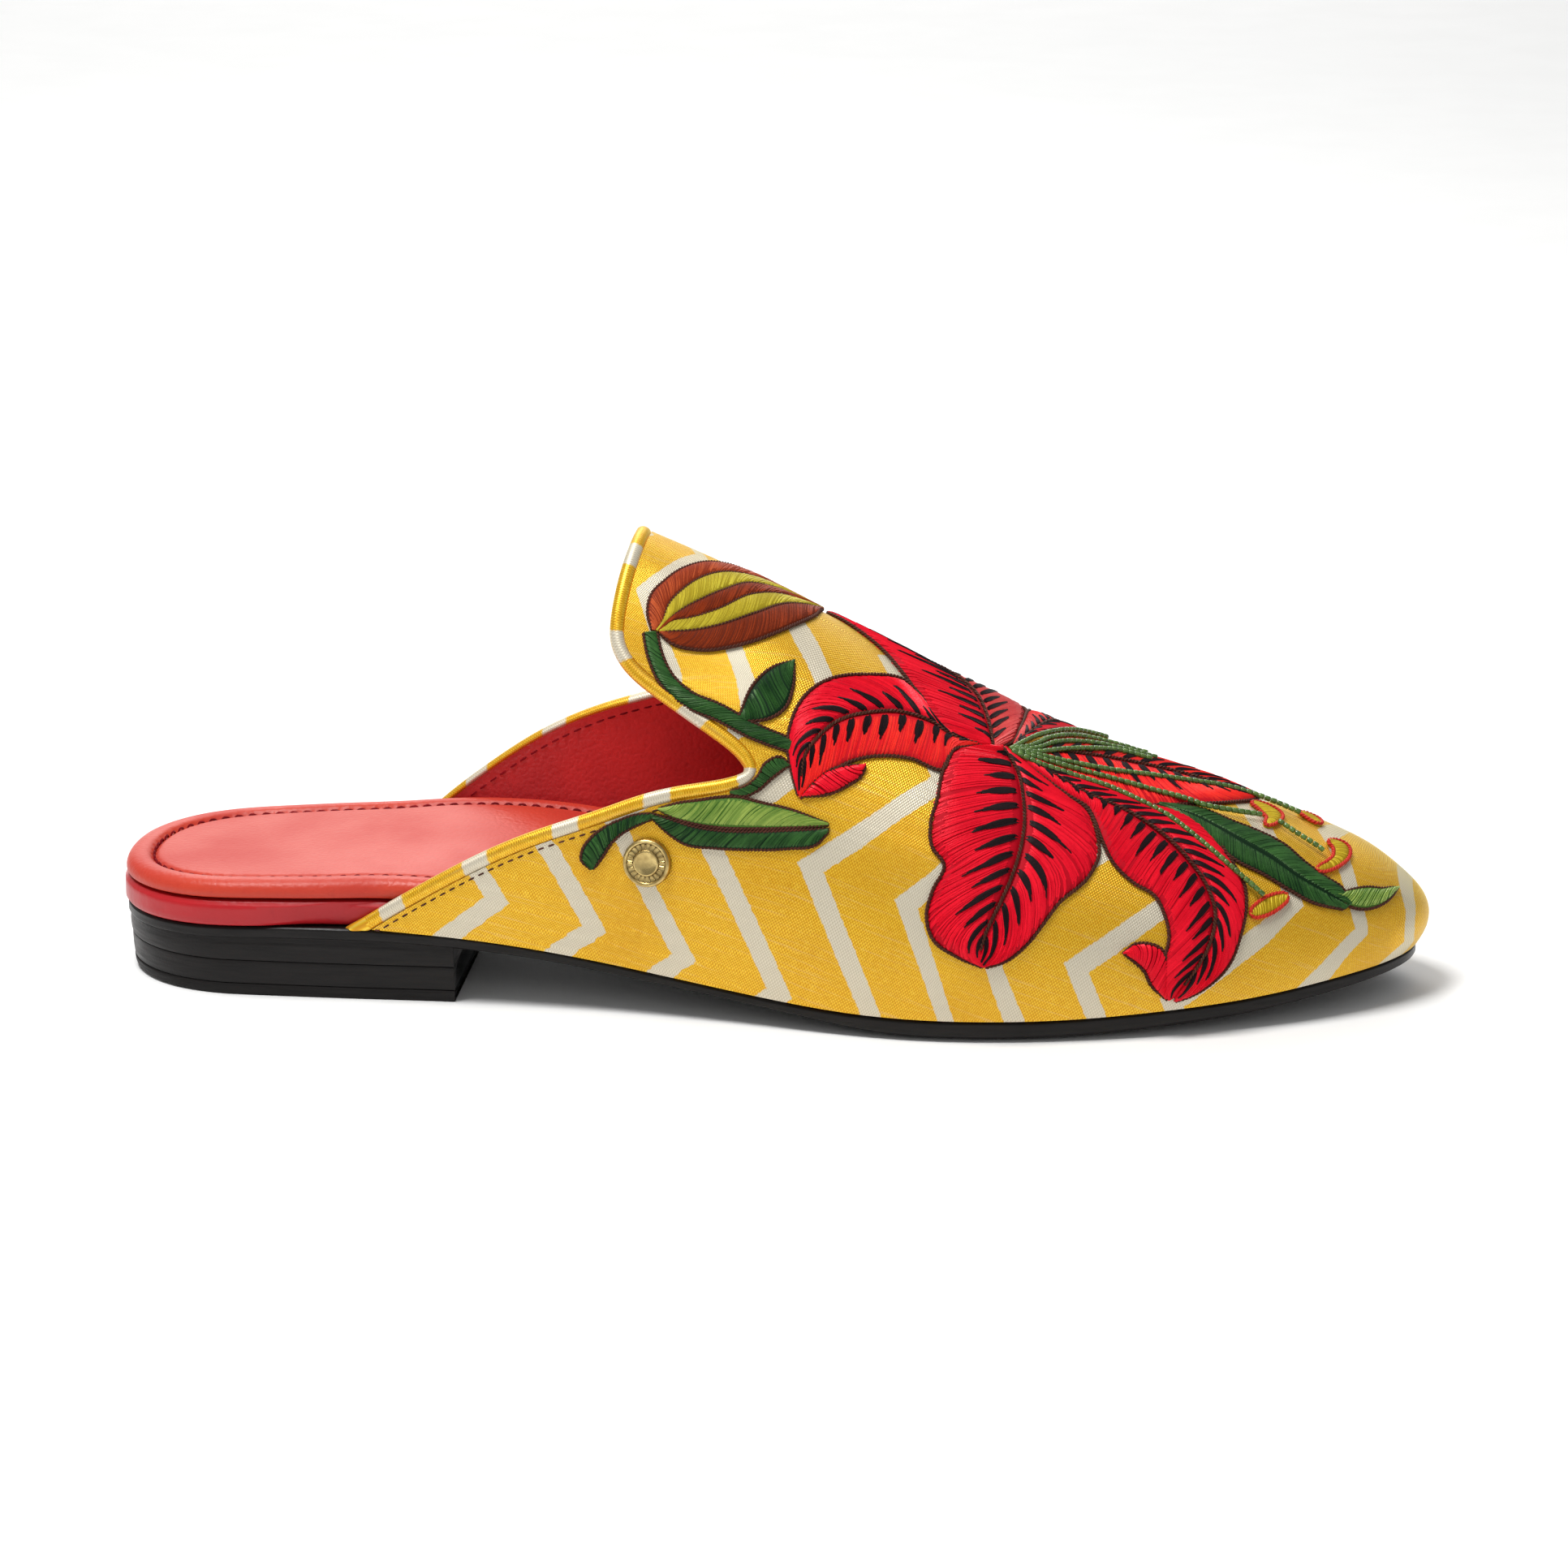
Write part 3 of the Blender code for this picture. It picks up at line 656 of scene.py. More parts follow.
def pattern_place(station, height):
    """(U, V) of the cloth for a station and a height over the cloth, in millimetres"""
    shift, slope = np.interp(station, *FOLD_SHIFTS), np.interp(station, *SLOPES)
    across_share = np.interp(station, *ACROSS_SHARES)
    along = ALONG_SHARE * station - slope * height + np.interp(station, *NUDGES)
    on_tab = np.clip((height - TAB_LOW) / TAB_RISE, 0, 1)
    along -= TAB_CLOSER * max(TAB_FRONT - station, 0) * on_tab
    return along, across_share * height + shift


def at_row(values, row):
    """reads one value for each row between its entries"""
    return np.interp(row, range(len(ROWS)), values)


def store_map(piece, places):
    """writes one UV place for each vertex of a piece"""
    layer = piece.data.uv_layers.get("cloth") or piece.data.uv_layers.new(name="cloth")
    corners = np.zeros(len(piece.data.loops), int)
    piece.data.loops.foreach_get("vertex_index", corners)
    layer.data.foreach_set("uv", places[corners].astype(np.float32).ravel())


def lay_pattern(piece):
    """stores the cloth's pattern coordinates as the UV map of a piece"""
    places = []
    for point in corners_of(piece):
        row, rise = chart_place(point)
        ridge, girth, foot = at_row(ridges, row), at_row(girths, row), at_row(feet, row)
        if rise > ridge:   # the far side mirrors the near one
            rise = ridge * (girth - rise) / max(girth - ridge, MM)
        on_tip = np.interp(point[0], TIP_BLEND, (0, 1))   # the tip faces forwards: plain height there
        rise += (TIP_STRETCH * (point[2] - foot) - rise) * on_tip
        along, across = pattern_place((point[0] - HEEL_X) / MM, (rise + foot) / MM)
        low = max(TIP_LOW - (point[2] - foot) / MM, 0)
        places.append((along + TIP_SWEEP * low * on_tip, across))
    store_map(piece, np.array(places))


lay_pattern(satin_upper)
finish_with(satin_upper, "SOLIDIFY", thickness=SATIN_THICKNESS, offset=-1)
finish_with(lining, "SOLIDIFY", thickness=LINING_THICKNESS, offset=-1)
print("cloth laid on", len(satin_upper.data.vertices), "vertices")

# %% Satin with chevrons
FOLD_GAP = 26.0
FIRST_FOLD = 43.0
LIMB_SLOPE = 0.745
REPEAT = 19.0
STRIPE = 4.9
STRIPE_START = 15.2
TIP_START = 0.1215   # from here on the toe faces forwards, and the weave is laid from the front
TIP_FADE = 0.003
WEAVE_TALL = 1.45   # a float's pitch across the cloth for one along it
# darker yellow: painted shade in the weave's gaps, and random dark patches and dashes
# paler yellow: painted highlight on the floats' tops, and random pale dashes
YELLOW, YELLOW_DARK_AND_SHADE, YELLOW_PALE_AND_HIGHLIGHT = (236, 180, 14), (206, 140, 2), (255, 222, 80)
# darker ivory: painted shade in the weave's gaps
IVORY, IVORY_PAINTED_SHADE = (228, 220, 202), (186, 174, 150)


def stripe_share(tree, run, start, repeat, middle, width, soft):
    """1 on stripes of this width and 0 between them; middle is the stripe's place in a repeat"""
    wrapped = sums(tree, "WRAP", sums(tree, "SUBTRACT", run, start), repeat, 0.0)
    away = sums(tree, "ABSOLUTE", sums(tree, "SUBTRACT", wrapped, middle))
    return spread(tree, away, width / 2 - soft, width / 2 + soft, 1.0, 0.0)


def chevron_share(tree, along, across):
    """1 on the ivory chevrons and 0 between them"""
    fold = sums(tree, "PINGPONG", sums(tree, "SUBTRACT", across, FIRST_FOLD), FOLD_GAP)
    run = sums(tree, "MULTIPLY_ADD", fold, LIMB_SLOPE, along)
    return stripe_share(tree, run, STRIPE_START, REPEAT, REPEAT - STRIPE / 2, STRIPE, 0.15)


def weave(tree, along, across, pitch):
    """floats of a satin weave: small raised dots in a lattice whose rows are set on by half"""
    wave = sums(tree, "COSINE", sums(tree, "MULTIPLY", along, 2 * math.pi / pitch))
    other = sums(tree, "COSINE", sums(tree, "MULTIPLY", across, 2 * math.pi / (pitch * WEAVE_TALL)))
    return sums(tree, "MULTIPLY_ADD", sums(tree, "MULTIPLY", wave, other), 0.5, 0.5)


def satin_cloth(name, stripes, pitch, relief):
    """yellow satin, ivory by stripes(tree, along, across); pitch in mm, relief in metres"""
    material, tree, shader = new_finish(name, YELLOW, 0.36, Specular_IOR_Level=1.0, Anisotropic=0.4,
                                        Metallic=0.45, Specular_Tint=(255, 236, 176),
                                        Coat_Weight=0.1, Coat_Roughness=0.25,
                                        Sheen_Weight=0.5, Sheen_Roughness=0.4,
                                        Sheen_Tint=(255, 238, 150))
    tangent = node(tree, "Tangent", direction_type="UV_MAP", uv_map="cloth").outputs[0]
    uv = node(tree, "UVMap", uv_map="cloth").outputs[0]
    parts = node(tree, "SeparateXYZ", {0: uv})
    along, across = parts.outputs[0], parts.outputs[1]
    place = place_of(tree)
    frayed = spread(tree, noise(tree, place, 0.0007), 0.2, 0.8, -0.25, 0.25)
    share = stripes(tree, sums(tree, "ADD", along, frayed), across)
    spot = node(tree, "SeparateXYZ", {0: place})
    tip = spread(tree, spot.outputs[0], TIP_START, TIP_START + TIP_FADE)
    front = weave(tree, spot.outputs[1], spot.outputs[2], pitch * MM)
    behind = sums(tree, "SUBTRACT", 1.0, tip)
    floats = sums(tree, "MULTIPLY", weave(tree, along, across, pitch), behind)
    floats = sums(tree, "MULTIPLY_ADD", front, tip, floats)
    slubs = streaks(tree, uv, (0.05, 1.6, 1), 1)
    dashes = streaks(tree, uv, (0.7, 3.4, 1), 1)
    patches = noise(tree, place, 0.018)
    # painted light: the weave's gaps get painted shade and the floats' tops a painted highlight;
    # patches and dashes below are random tone
    yellow = laid_over(tree, YELLOW_DARK_AND_SHADE, YELLOW, floats, 0.1, 0.6)
    yellow = laid_over(tree, yellow, YELLOW_PALE_AND_HIGHLIGHT, floats, 0.6, 1.0, 0.0, 0.8)
    yellow = laid_over(tree, yellow, YELLOW_DARK_AND_SHADE, patches, 0.45, 0.75, 0.0, 0.35)
    yellow = laid_over(tree, yellow, YELLOW_DARK_AND_SHADE, dashes, 0.3, 0.5, 0.3, 0.0)
    yellow = laid_over(tree, yellow, YELLOW_PALE_AND_HIGHLIGHT, dashes, 0.5, 0.7, 0.0, 0.3)
    # the ivory stripes get painted shade in the weave's gaps
    ivory = laid_over(tree, IVORY, IVORY_PAINTED_SHADE, floats, 0.0, 0.9, 0.8, 0.0)
    cloth = blend_colours(tree, share, yellow, ivory)
    cloth = laid_over(tree, cloth, IVORY, slubs, 0.55, 0.75, 0.0, 0.12)
    rough = sums(tree, "MULTIPLY_ADD", share, 0.12, spread(tree, patches, 0.3, 0.7, 0.3, 0.4))
    feed_shader(tree, shader, Base_Color=cloth, Roughness=rough, Tangent=tangent)
    raise_surface(tree, shader, (slubs, 0.00005), (floats, relief))
    return material


chevron_satin = satin_cloth("chevron_satin", chevron_share, 0.56, 0.00007)
settle(satin_upper, chevron_satin, "satin", "upper", sharp=60)

# %% [markdown]
# ## Threads and stitches
# Seams, cords and embroidery are all thread, so one set of tools makes them. A thread is a curve
# with a round bevel, closed at its ends and turned into a mesh. Each keeps a shade of its own in an
# attribute, which the finish reads, because no two threads take up dye or light quite alike.

# %% Lines on the skin
def lengths_along(points):
    """the length of a line up to each of its points"""
    return np.concatenate([[0], np.cumsum(np.linalg.norm(np.diff(points, axis=0), axis=1))])


def read_line(points, along, at):
    """the places on a line at these lengths along it"""
    return np.stack([np.interp(at, along, points[:, axis]) for axis in range(points.shape[1])], 1)


def evenly(points, step):
    """the same line with points about step apart"""
    along = lengths_along(points)
    steps = max(int(round(along[-1] / step)), 1)
    return read_line(points, along, np.linspace(0, along[-1], steps + 1))


def directions(points):
    """unit directions along a line"""
    steps = np.gradient(points, axis=0)
    return steps / np.maximum(np.linalg.norm(steps, axis=1, keepdims=True), TINY)


def nearest_on(tree, points):
    """the nearest points on a skin and the skin's normals there"""
    found = [tree.find_nearest(Vector(point)) for point in points]
    return np.array([f[0] for f in found]), np.array([f[1] for f in found])


def beside(tree, line, distance):
    """a line on a skin, set off to the right of another by distance metres, and its normals"""
    sides = np.cross(directions(line), nearest_on(tree, line)[1])
    return nearest_on(tree, line + sides * distance)


# %% Threads and stitches
def threads(name, paths, radius, taper=None, sides=4):
    """one piece of many closed threads; every path has the same number of points"""
    curve = bpy.data.curves.new(name, "CURVE")
    curve.dimensions = "3D"
    curve.bevel_depth = radius
    curve.bevel_resolution = (sides - 4) // 2
    curve.use_fill_caps = True
    for path in paths:
        spline = curve.splines.new("POLY")
        spline.points.add(len(path) - 1)
        spline.points.foreach_set("co", np.column_stack([path, np.ones(len(path))]).ravel())
        if taper is not None:
            spline.points.foreach_set("radius", taper)
    piece = bpy.data.objects.new(name, curve)
    bpy.context.scene.collection.objects.link(piece)
    pick(piece)
    bpy.ops.object.convert(target="MESH")
    piece = bpy.context.object
    draws = np.random.default_rng(len(paths)).normal(0.5, 0.2, len(paths))
    shades = np.repeat(np.clip(draws, 0, 1), len(piece.data.vertices) // len(paths))
    piece.data.attributes.new("shade", "FLOAT", "POINT").data.foreach_set("value", shades)
    return piece


SEAM_STEP = 0.2 * MM   # every line that is stitched along has points this far apart
STITCH_SINK = 0.25 * MM
STITCH_POINTS = 7


def stitch_paths(line, normals, stitch, gap, lift):
    """short arched paths along a line: stitch and gap are lengths, lift the height of the arch"""
    reach = int(round(stitch / SEAM_STEP))
    pitch = int(round((stitch + gap) / SEAM_STEP))
    arch = np.sin(np.linspace(0, math.pi, STITCH_POINTS)) ** 0.6
    arch = arch * (lift + STITCH_SINK) - STITCH_SINK
    paths = []
    for start in range(0, len(line) - reach, pitch):
        at = np.linspace(start, start + reach, STITCH_POINTS).round().astype(int)
        paths.append(line[at] + normals[at] * arch[:, None])
    return paths


# %% Thread finish
GLOW_SHARE, GLOW_LEAST = 0.65, (90, 84, 80)
STRAND, FIBRE = 0.0011, 0.0003
shaded_grounds = {}


def thread_finish(name, colour, shade, shine):
    """silky thread: each thread has its own shade, with fine strands; and a darker dull ground that
    paints the shade between threads
    """
    glow = [GLOW_SHARE * part + least for part, least in zip(colour, GLOW_LEAST)]
    # painted shade: the ground is darker than the thread, so its gaps between threads read as shade
    shaded_grounds[name] = new_finish(name + "_ground", [0.9 * part for part in shade], 0.6,
                               Specular_IOR_Level=0.1)[0]
    material, tree, shader = new_finish(name, colour, shine, Specular_IOR_Level=0.6,
                                        Specular_Tint=glow)
    place = place_of(tree)
    own = node(tree, "Attribute", attribute_name="shade").outputs["Fac"]
    strands = noise(tree, place, STRAND)
    fibres = noise(tree, place, FIBRE)
    patches = noise(tree, place, 0.006)
    mix = sums(tree, "MULTIPLY_ADD", own, 0.5, sums(tree, "MULTIPLY", patches, 0.6))
    dyed = laid_over(tree, shade, colour, mix, 0.25, 0.85)
    dyed = laid_over(tree, dyed, shade, strands, 0.5, 0.8, 0.0, 0.35)
    rough = spread(tree, fibres, 0.3, 0.7, shine - 0.08, shine + 0.12)
    feed_shader(tree, shader, Base_Color=dyed, Roughness=rough)
    raise_surface(tree, shader, (strands, 0.00006), (fibres, 0.00003))
    return material


# %% [markdown]
# ## The rolled binding
# A narrow strip of the same satin, cut on the bias, is rolled over the raw edge of the collar. It is
# the CAD roll made smooth. Its UV map follows it: U is the length along the collar and V the way
# round the roll, so that the ivory stripes cross the strip at a slant, as on a bias-cut strip.

# %% Line of the roll
BINDING_REPEAT = 19.2
BINDING_STRIPE = 5.4
BINDING_START = -4.6
BIAS_SLANT = 0.45
BINDING_SWELL = 0.25 * MM
BINDING_SHIFT = 0.4 * MM
BINDING_OUTER, BINDING_INNER, BINDING_FLAT = 0.88, 0.44, 0.85
BINDING_EASE = 1.2 * MM
ROLL_RADIUS = 1.55   # millimetres, for the length of the way round the roll
LINING_REACH, LINING_STRETCH = 2.0 * MM, 6.0 * MM


def bias_share(tree, along, round_roll):
    """1 on the slanted ivory stripes of the bias strip"""
    slanted = sums(tree, "MULTIPLY_ADD", round_roll, BIAS_SLANT, along)
    return stripe_share(tree, slanted, BINDING_START, BINDING_REPEAT, BINDING_REPEAT / 2,
                        BINDING_STRIPE, 0.2)


binding = copy_of("collar_binding", "binding")
swell(binding, BINDING_SWELL)
round_off(binding, 2)
collar = evenly(satin_collar, SEAM_STEP)
roll_line = collar * 0.5 + nearest_on(lining_tree, collar)[0] * 0.5
roll_normals = nearest_on(skin_tree, roll_line)[1]
roll_sides = np.cross(directions(roll_line), roll_normals)
roll_length = np.arange(len(roll_line)) * SEAM_STEP / MM
print("collar", round(roll_length[-1]), "mm round")


def near_roll(points):
    """for each point: the nearest step of the roll line and its parts along side and normal"""
    steps = np.array([np.argmin(((point - roll_line) ** 2).sum(1)) for point in points])
    offsets = points - roll_line[steps]
    return steps, (offsets * roll_sides[steps]).sum(1), (offsets * roll_normals[steps]).sum(1)


# %% Binding and lining laid to the roll
binding_corners = corners_of(binding)
steps, sideways, outward_part = near_roll(binding_corners)
way_round = np.arctan2(sideways, outward_part) * ROLL_RADIUS
store_map(binding, np.stack([roll_length[steps], way_round], 1))
outer_edge = sideways.min()
ease = np.clip(outward_part / BINDING_EASE + 0.5, 0, 1)
ease = ease * ease * (3 - 2 * ease)
narrowed = BINDING_SHIFT + BINDING_OUTER * outer_edge + (sideways - outer_edge) * (
    BINDING_INNER + (BINDING_OUTER - BINDING_INNER) * ease)
binding_corners += roll_sides[steps] * (narrowed - sideways)[:, None]
binding_corners += roll_normals[steps] * (outward_part * (BINDING_FLAT - 1))[:, None]
move_corners(binding, binding_corners)

lining_corners = corners_of(lining)
steps, sideways, outward_part = near_roll(lining_corners)
gaps = np.linalg.norm(lining_corners - roll_line[steps], axis=1)
reach = LINING_REACH * np.clip(1 - gaps / LINING_STRETCH, 0, 1)
lining_corners -= roll_sides[steps] * reach[:, None]
move_corners(lining, lining_corners)
settle(lining, lining_leather, "rand_leather", sharp=60)
bias_satin = satin_cloth("bias_satin", bias_share, 0.48, 0.00003)
settle(binding, bias_satin, "binding_satin", "collar_binding", sharp=60)

# %% Stitches along the collar
SEAM_INSET, INNER_INSET = 0.9 * MM, 0.4 * MM
LAST_SHOWN = 36   # stitches show along both quarters, and hide under the roll from there on

brown_thread = thread_finish("brown_thread", (86, 50, 42), (52, 28, 24), 0.6)
crimson_thread = thread_finish("crimson_thread", (150, 16, 30), (110, 8, 20), 0.5)
seam = stitch_paths(*beside(skin_tree, collar, SEAM_INSET), 1.4 * MM, 0.8 * MM, 0.08 * MM)
quarter_stitches = threads("quarter_stitches", seam[:LAST_SHOWN] + seam[-LAST_SHOWN:], 0.18 * MM)
settle(quarter_stitches, brown_thread, "binding_satin")
inner_collar = evenly(lining_collar, SEAM_STEP)
inner_seam = stitch_paths(*beside(lining_tree, inner_collar, -INNER_INSET), 1.8 * MM, 0.8 * MM,
                          0.1 * MM)
settle(threads("lining_stitches", inner_seam, 0.2 * MM), crimson_thread, "rand_leather")

# %% [markdown]
# ## Needlework: shapes
# Each embroidered shape is drawn flat on the chart of the upper, as a rib line and two edge lines
# that run from its base to its tip. A place in a shape is a share along the lines and a share across
# them, from -1 at the right edge over 0 at the rib to 1 at the left edge. Threads, padding, black
# feather stitches and outline cords all use the same shape, so they always agree.

# %% Lines and shapes on the chart
RIB_STEPS = 160
FINE_STEPS = 600


def flowing(knots, values, at):
    """smooth values through given knots"""
    knots, values = np.asarray(knots, float), np.asarray(values, float)
    slopes = np.gradient(values, knots)
    at = np.clip(at, knots[0], knots[-1])
    i = np.clip(np.searchsorted(knots, at, side="right") - 1, 0, len(knots) - 2)
    gap = knots[i + 1] - knots[i]
    t = (at - knots[i]) / gap
    rise = t * t * (3 - 2 * t)
    start = t * (1 - t) ** 2 * gap * slopes[i]
    end = t * t * (t - 1) * gap * slopes[i + 1]
    return values[i] * (1 - rise) + values[i + 1] * rise + start + end


def flowing_line(points, count=RIB_STEPS):
    """a smooth chart line through a few points, with evenly spaced places, and its length"""
    points = np.array(points, float)
    chords = lengths_along(points)
    fine = np.linspace(0, chords[-1], FINE_STEPS)
    line = np.stack([flowing(chords, points[:, axis], fine) for axis in (0, 1)], 1)
    along = lengths_along(line)
    return read_line(line, along, np.linspace(0, along[-1], count)), along[-1]


class Shape:
    """a rib line and two edge lines on the chart, all from base to tip"""

    def __init__(self, left, rib, right):
        self.lines, self.lengths = zip(*[flowing_line(line) for line in (left, rib, right)])
        self.length = self.lengths[1]

    def place(self, along, across):
        """chart places for shares along and across"""
        along, across = np.broadcast_arrays(np.clip(along, 0, 1), across)
        at = along * (RIB_STEPS - 1)
        left, rib, right = [np.stack([np.interp(at, np.arange(RIB_STEPS), line[:, axis])
                                      for axis in (0, 1)], -1) for line in self.lines]
        edge = np.where((across > 0)[..., None], left, right)
        return rib + (edge - rib) * np.abs(across)[..., None]

    def on(self, along, across, lift):
        """the same places over the cloth, in metres"""
        places = self.place(along, across)
        return on_cloth(places[..., 0], places[..., 1], lift)

    def edge(self, side, start=0.0, stop=1.0, count=90):
        """chart places along one edge, side -1 or 1, or along the rib for side 0"""
        return self.place(np.linspace(start, stop, count), np.full(count, float(side)))

    def outline(self):
        """chart places all round the shape, back to the start"""
        there, back = self.edge(1), self.edge(-1)[::-1]
        return np.concatenate([there, back, there[:1]])


def band(left, right):
    """a shape between two lines, its rib midway"""
    both = [flowing_line(line)[0] for line in (left, right)]
    return Shape(both[0], (both[0] + both[1]) / 2, both[1])


LEAF = ((0, 0), (0.15, 0.55), (0.4, 1), (0.7, 0.85), (0.9, 0.4), (1, 0))
STRAP = ((0, 0.9), (0.2, 1), (0.8, 1), (1, 0.9))
BAR = ((0, 0.3), (0.06, 0.75), (0.16, 1), (0.84, 1), (0.94, 0.75), (1, 0.3))


def around(rib, half, widths=LEAF):
    """a shape of this greatest half width on both sides of a line; widths are (share, part) pairs"""
    line = flowing_line(rib)[0]
    steps = np.gradient(line, axis=0)
    steps /= np.linalg.norm(steps, axis=1, keepdims=True)
    reach = half * flowing(*np.array(widths, float).T, np.linspace(0, 1, RIB_STEPS))
    offset = np.stack([-steps[:, 1], steps[:, 0]], 1) * reach[:, None]
    return Shape(line + offset, line, line - offset)


# %% [markdown]
# ## Needlework: threads, padding and cords
# Satin stitch is rows of glossy thread laid side by side over a padded ground. Every thread here is
# real geometry: it dives into the cloth at both ends and arches over the padding. The black feather
# stitches lie on top of it, and a two-ply brown cord is couched round each shape.

# %% Satin stitch
THREAD_RADIUS = 0.22 * MM
THREAD_SPACING = 0.29
UNEVEN = 0.03
ROW_JITTER, LEAN_JITTER, HEIGHT_JITTER = 0.15, 0.05, 0.03
LEAN_CURVE = 1.2
THREAD_SINK = 0.2
CROWN_POINTS = 8
CROWN_POWER = 0.45
SHORTEST_STEP = 0.05 * MM
SEWN_SHARP = 80
draw = np.random.default_rng(7)


def crown_at(share):
    """the arch of a thread over its padding, from 0 at its ends to 1"""
    return np.sin(math.pi * np.clip(share, 0.02, 0.98)) ** CROWN_POWER


def lean_at(slant, shape, along):
    """how far a thread leans to the tip, as a share of the rib: most near the tip"""
    return slant / shape.length * (0.7 + 0.6 * np.clip(along, 0, 1))


def whole_enough(path):
    """false for a path that is bunched up at the end of a shape"""
    return np.linalg.norm(np.diff(path, axis=0), axis=1).min() > SHORTEST_STEP


def satin_rows(shape, start, end, slant, lift, crown):
    """paths of threads laid across a shape from one share to another; slant in millimetres"""
    most = slant / shape.length
    width = (shape.length + shape.lengths[0 if end > start else 2]) / 2
    count = int((1 + abs(most)) * width / THREAD_SPACING)
    share = np.linspace(0, 1, CROWN_POINTS)
    paths = []
    for first in np.linspace(-max(most, 0), 1 - min(most, 0), count):
        first += draw.normal(0, ROW_JITTER) / shape.length
        overshoot = draw.uniform(-UNEVEN, UNEVEN)
        across = start + (end - start) * share * (1 + overshoot)
        lean = lean_at(slant, shape, first) * draw.normal(1, LEAN_JITTER)
        along = first + lean * share ** LEAN_CURVE
        height = lift + crown * crown_at(share) + draw.normal(0, HEIGHT_JITTER)
        height[0] = height[-1] = -THREAD_SINK
        path = shape.on(along, across, height)
        if whole_enough(path):
            paths.append(path)
    return paths


def sewn(name, paths, finish, taper=None):
    """threads along these paths, as one finished piece of needlework"""
    return settle(threads(name, paths, THREAD_RADIUS, taper), finish, "satin", sharp=SEWN_SHARP)


# %% Padding
PADDING_LONG, PADDING_WIDE = 48, 12
PADDING_SINK = 0.25
PADDING_END = 0.04
PADDING_THICKNESS = 0.4 * MM


def padding(name, shape, start, end, lift, crown, finish):
    """the low padded ground under the threads, sunk into the cloth at its edges"""
    bpy.ops.object.select_all(action="DESELECT")
    bpy.ops.mesh.primitive_grid_add(x_subdivisions=PADDING_LONG, y_subdivisions=PADDING_WIDE,
                                    size=1)
    piece = bpy.context.object
    piece.name = name
    flat = corners_of(piece)
    along, share = flat[:, 0] + 0.5, flat[:, 1] + 0.5
    start, end = max(start, end), min(start, end)
    rounded = np.sin(math.pi * share) ** CROWN_POWER
    ends = np.clip(np.minimum(along, 1 - along) / PADDING_END, 0, 1) ** 0.5
    height = (lift + crown * rounded + PADDING_SINK) * ends - PADDING_SINK
    height = np.where((share < 0.01) | (share > 0.99), -PADDING_SINK, height)
    move_corners(piece, shape.on(along, start + (end - start) * share, height))
    finish_with(piece, "SOLIDIFY", thickness=PADDING_THICKNESS, offset=-1)
    with editing(piece, "SELECT"):
        bpy.ops.mesh.remove_doubles(threshold=WELD)
        bpy.ops.mesh.normals_make_consistent(inside=False)
    # the padding takes the thread's darker ground finish, painted shade between the threads
    return settle(piece, shaded_grounds[finish.name], "satin", sharp=SEWN_SHARP)


# %% Cords
CORD_PLY = 0.19 * MM
CORD_TURN = 1.5 * MM
TURN_POINTS = 7


def twisted_paths(line, lift):
    """the two plies of a cord that follows a chart line; returns paths of equal length"""
    centre = evenly(on_cloth(*line.T, lift), CORD_TURN / TURN_POINTS)
    normals = nearest_on(skin_tree, centre)[1]
    sides = np.cross(directions(centre), normals)
    turn = np.arange(len(centre)) / TURN_POINTS * 2 * math.pi
    plies = []
    for phase in (0, math.pi):
        plies.append(centre + normals * (np.sin(turn + phase) * CORD_PLY)[:, None]
                     + sides * (np.cos(turn + phase) * CORD_PLY)[:, None])
    return plies


def joined(name, pieces):
    """several pieces made one"""
    pick(*pieces)
    if len(pieces) > 1:
        bpy.ops.object.join()
    piece = bpy.context.object
    piece.name = name
    return piece


def cords(name, lines, finish, lift=0.35, ply=CORD_PLY):
    """one piece of two-ply cords along several chart lines"""
    pieces = []
    for number, line in enumerate(lines):
        pieces.append(threads(f"{name}_{number}", twisted_paths(line, lift), ply * 1.15, sides=6))
    return settle(joined(name, pieces), finish, "satin", sharp=SEWN_SHARP)


# %% Feather stitches
# each strand of a bundle: its place along the rib in millimetres, and its part of the reach
FEATHER_STRANDS = ((-0.5, 0.7), (-0.25, 0.9), (0.0, 1.0), (0.25, 0.92), (0.5, 0.74))
FEATHER_PITCH = 3.4
FEATHER_REACH, SHORT_PART = 0.7, 0.78
FEATHER_FROM = 0.04
FEATHER_OVER, FEATHER_SINK = 0.2, 0.1
FEATHER_START, FEATHER_STOP = 0.04, 0.93
FEATHER_TAPER = (0.7, 1, 1.1, 1.1, 1.05, 0.95, 0.8, 0.45)


def feather_paths(shape, side, slant, lift, crown):
    """bundles of black thread from the rib outward, long and short by turns, ragged at their tips"""
    paths = []
    share = np.linspace(0, 1, CROWN_POINTS)
    bases = np.arange(FEATHER_START, FEATHER_STOP, FEATHER_PITCH / shape.length)
    for number, base in enumerate(bases):
        long = FEATHER_REACH * (1.0 if number % 2 else SHORT_PART) * draw.uniform(0.88, 1.12)
        lean = lean_at(slant, shape, base)
        for offset, part in FEATHER_STRANDS:
            own = long * part * draw.uniform(0.9, 1.1)
            fan = offset / shape.length * (0.4 + 0.8 * np.sin(math.pi * share) ** 0.8)
            across = FEATHER_FROM + (own - FEATHER_FROM) * share
            height = lift + crown * crown_at(across) + FEATHER_OVER
            height[0] = height[-1] = lift - FEATHER_SINK
            path = shape.on(base + fan + lean * across ** LEAN_CURVE, side * across, height)
            if whole_enough(path):
                paths.append(path)
    return paths


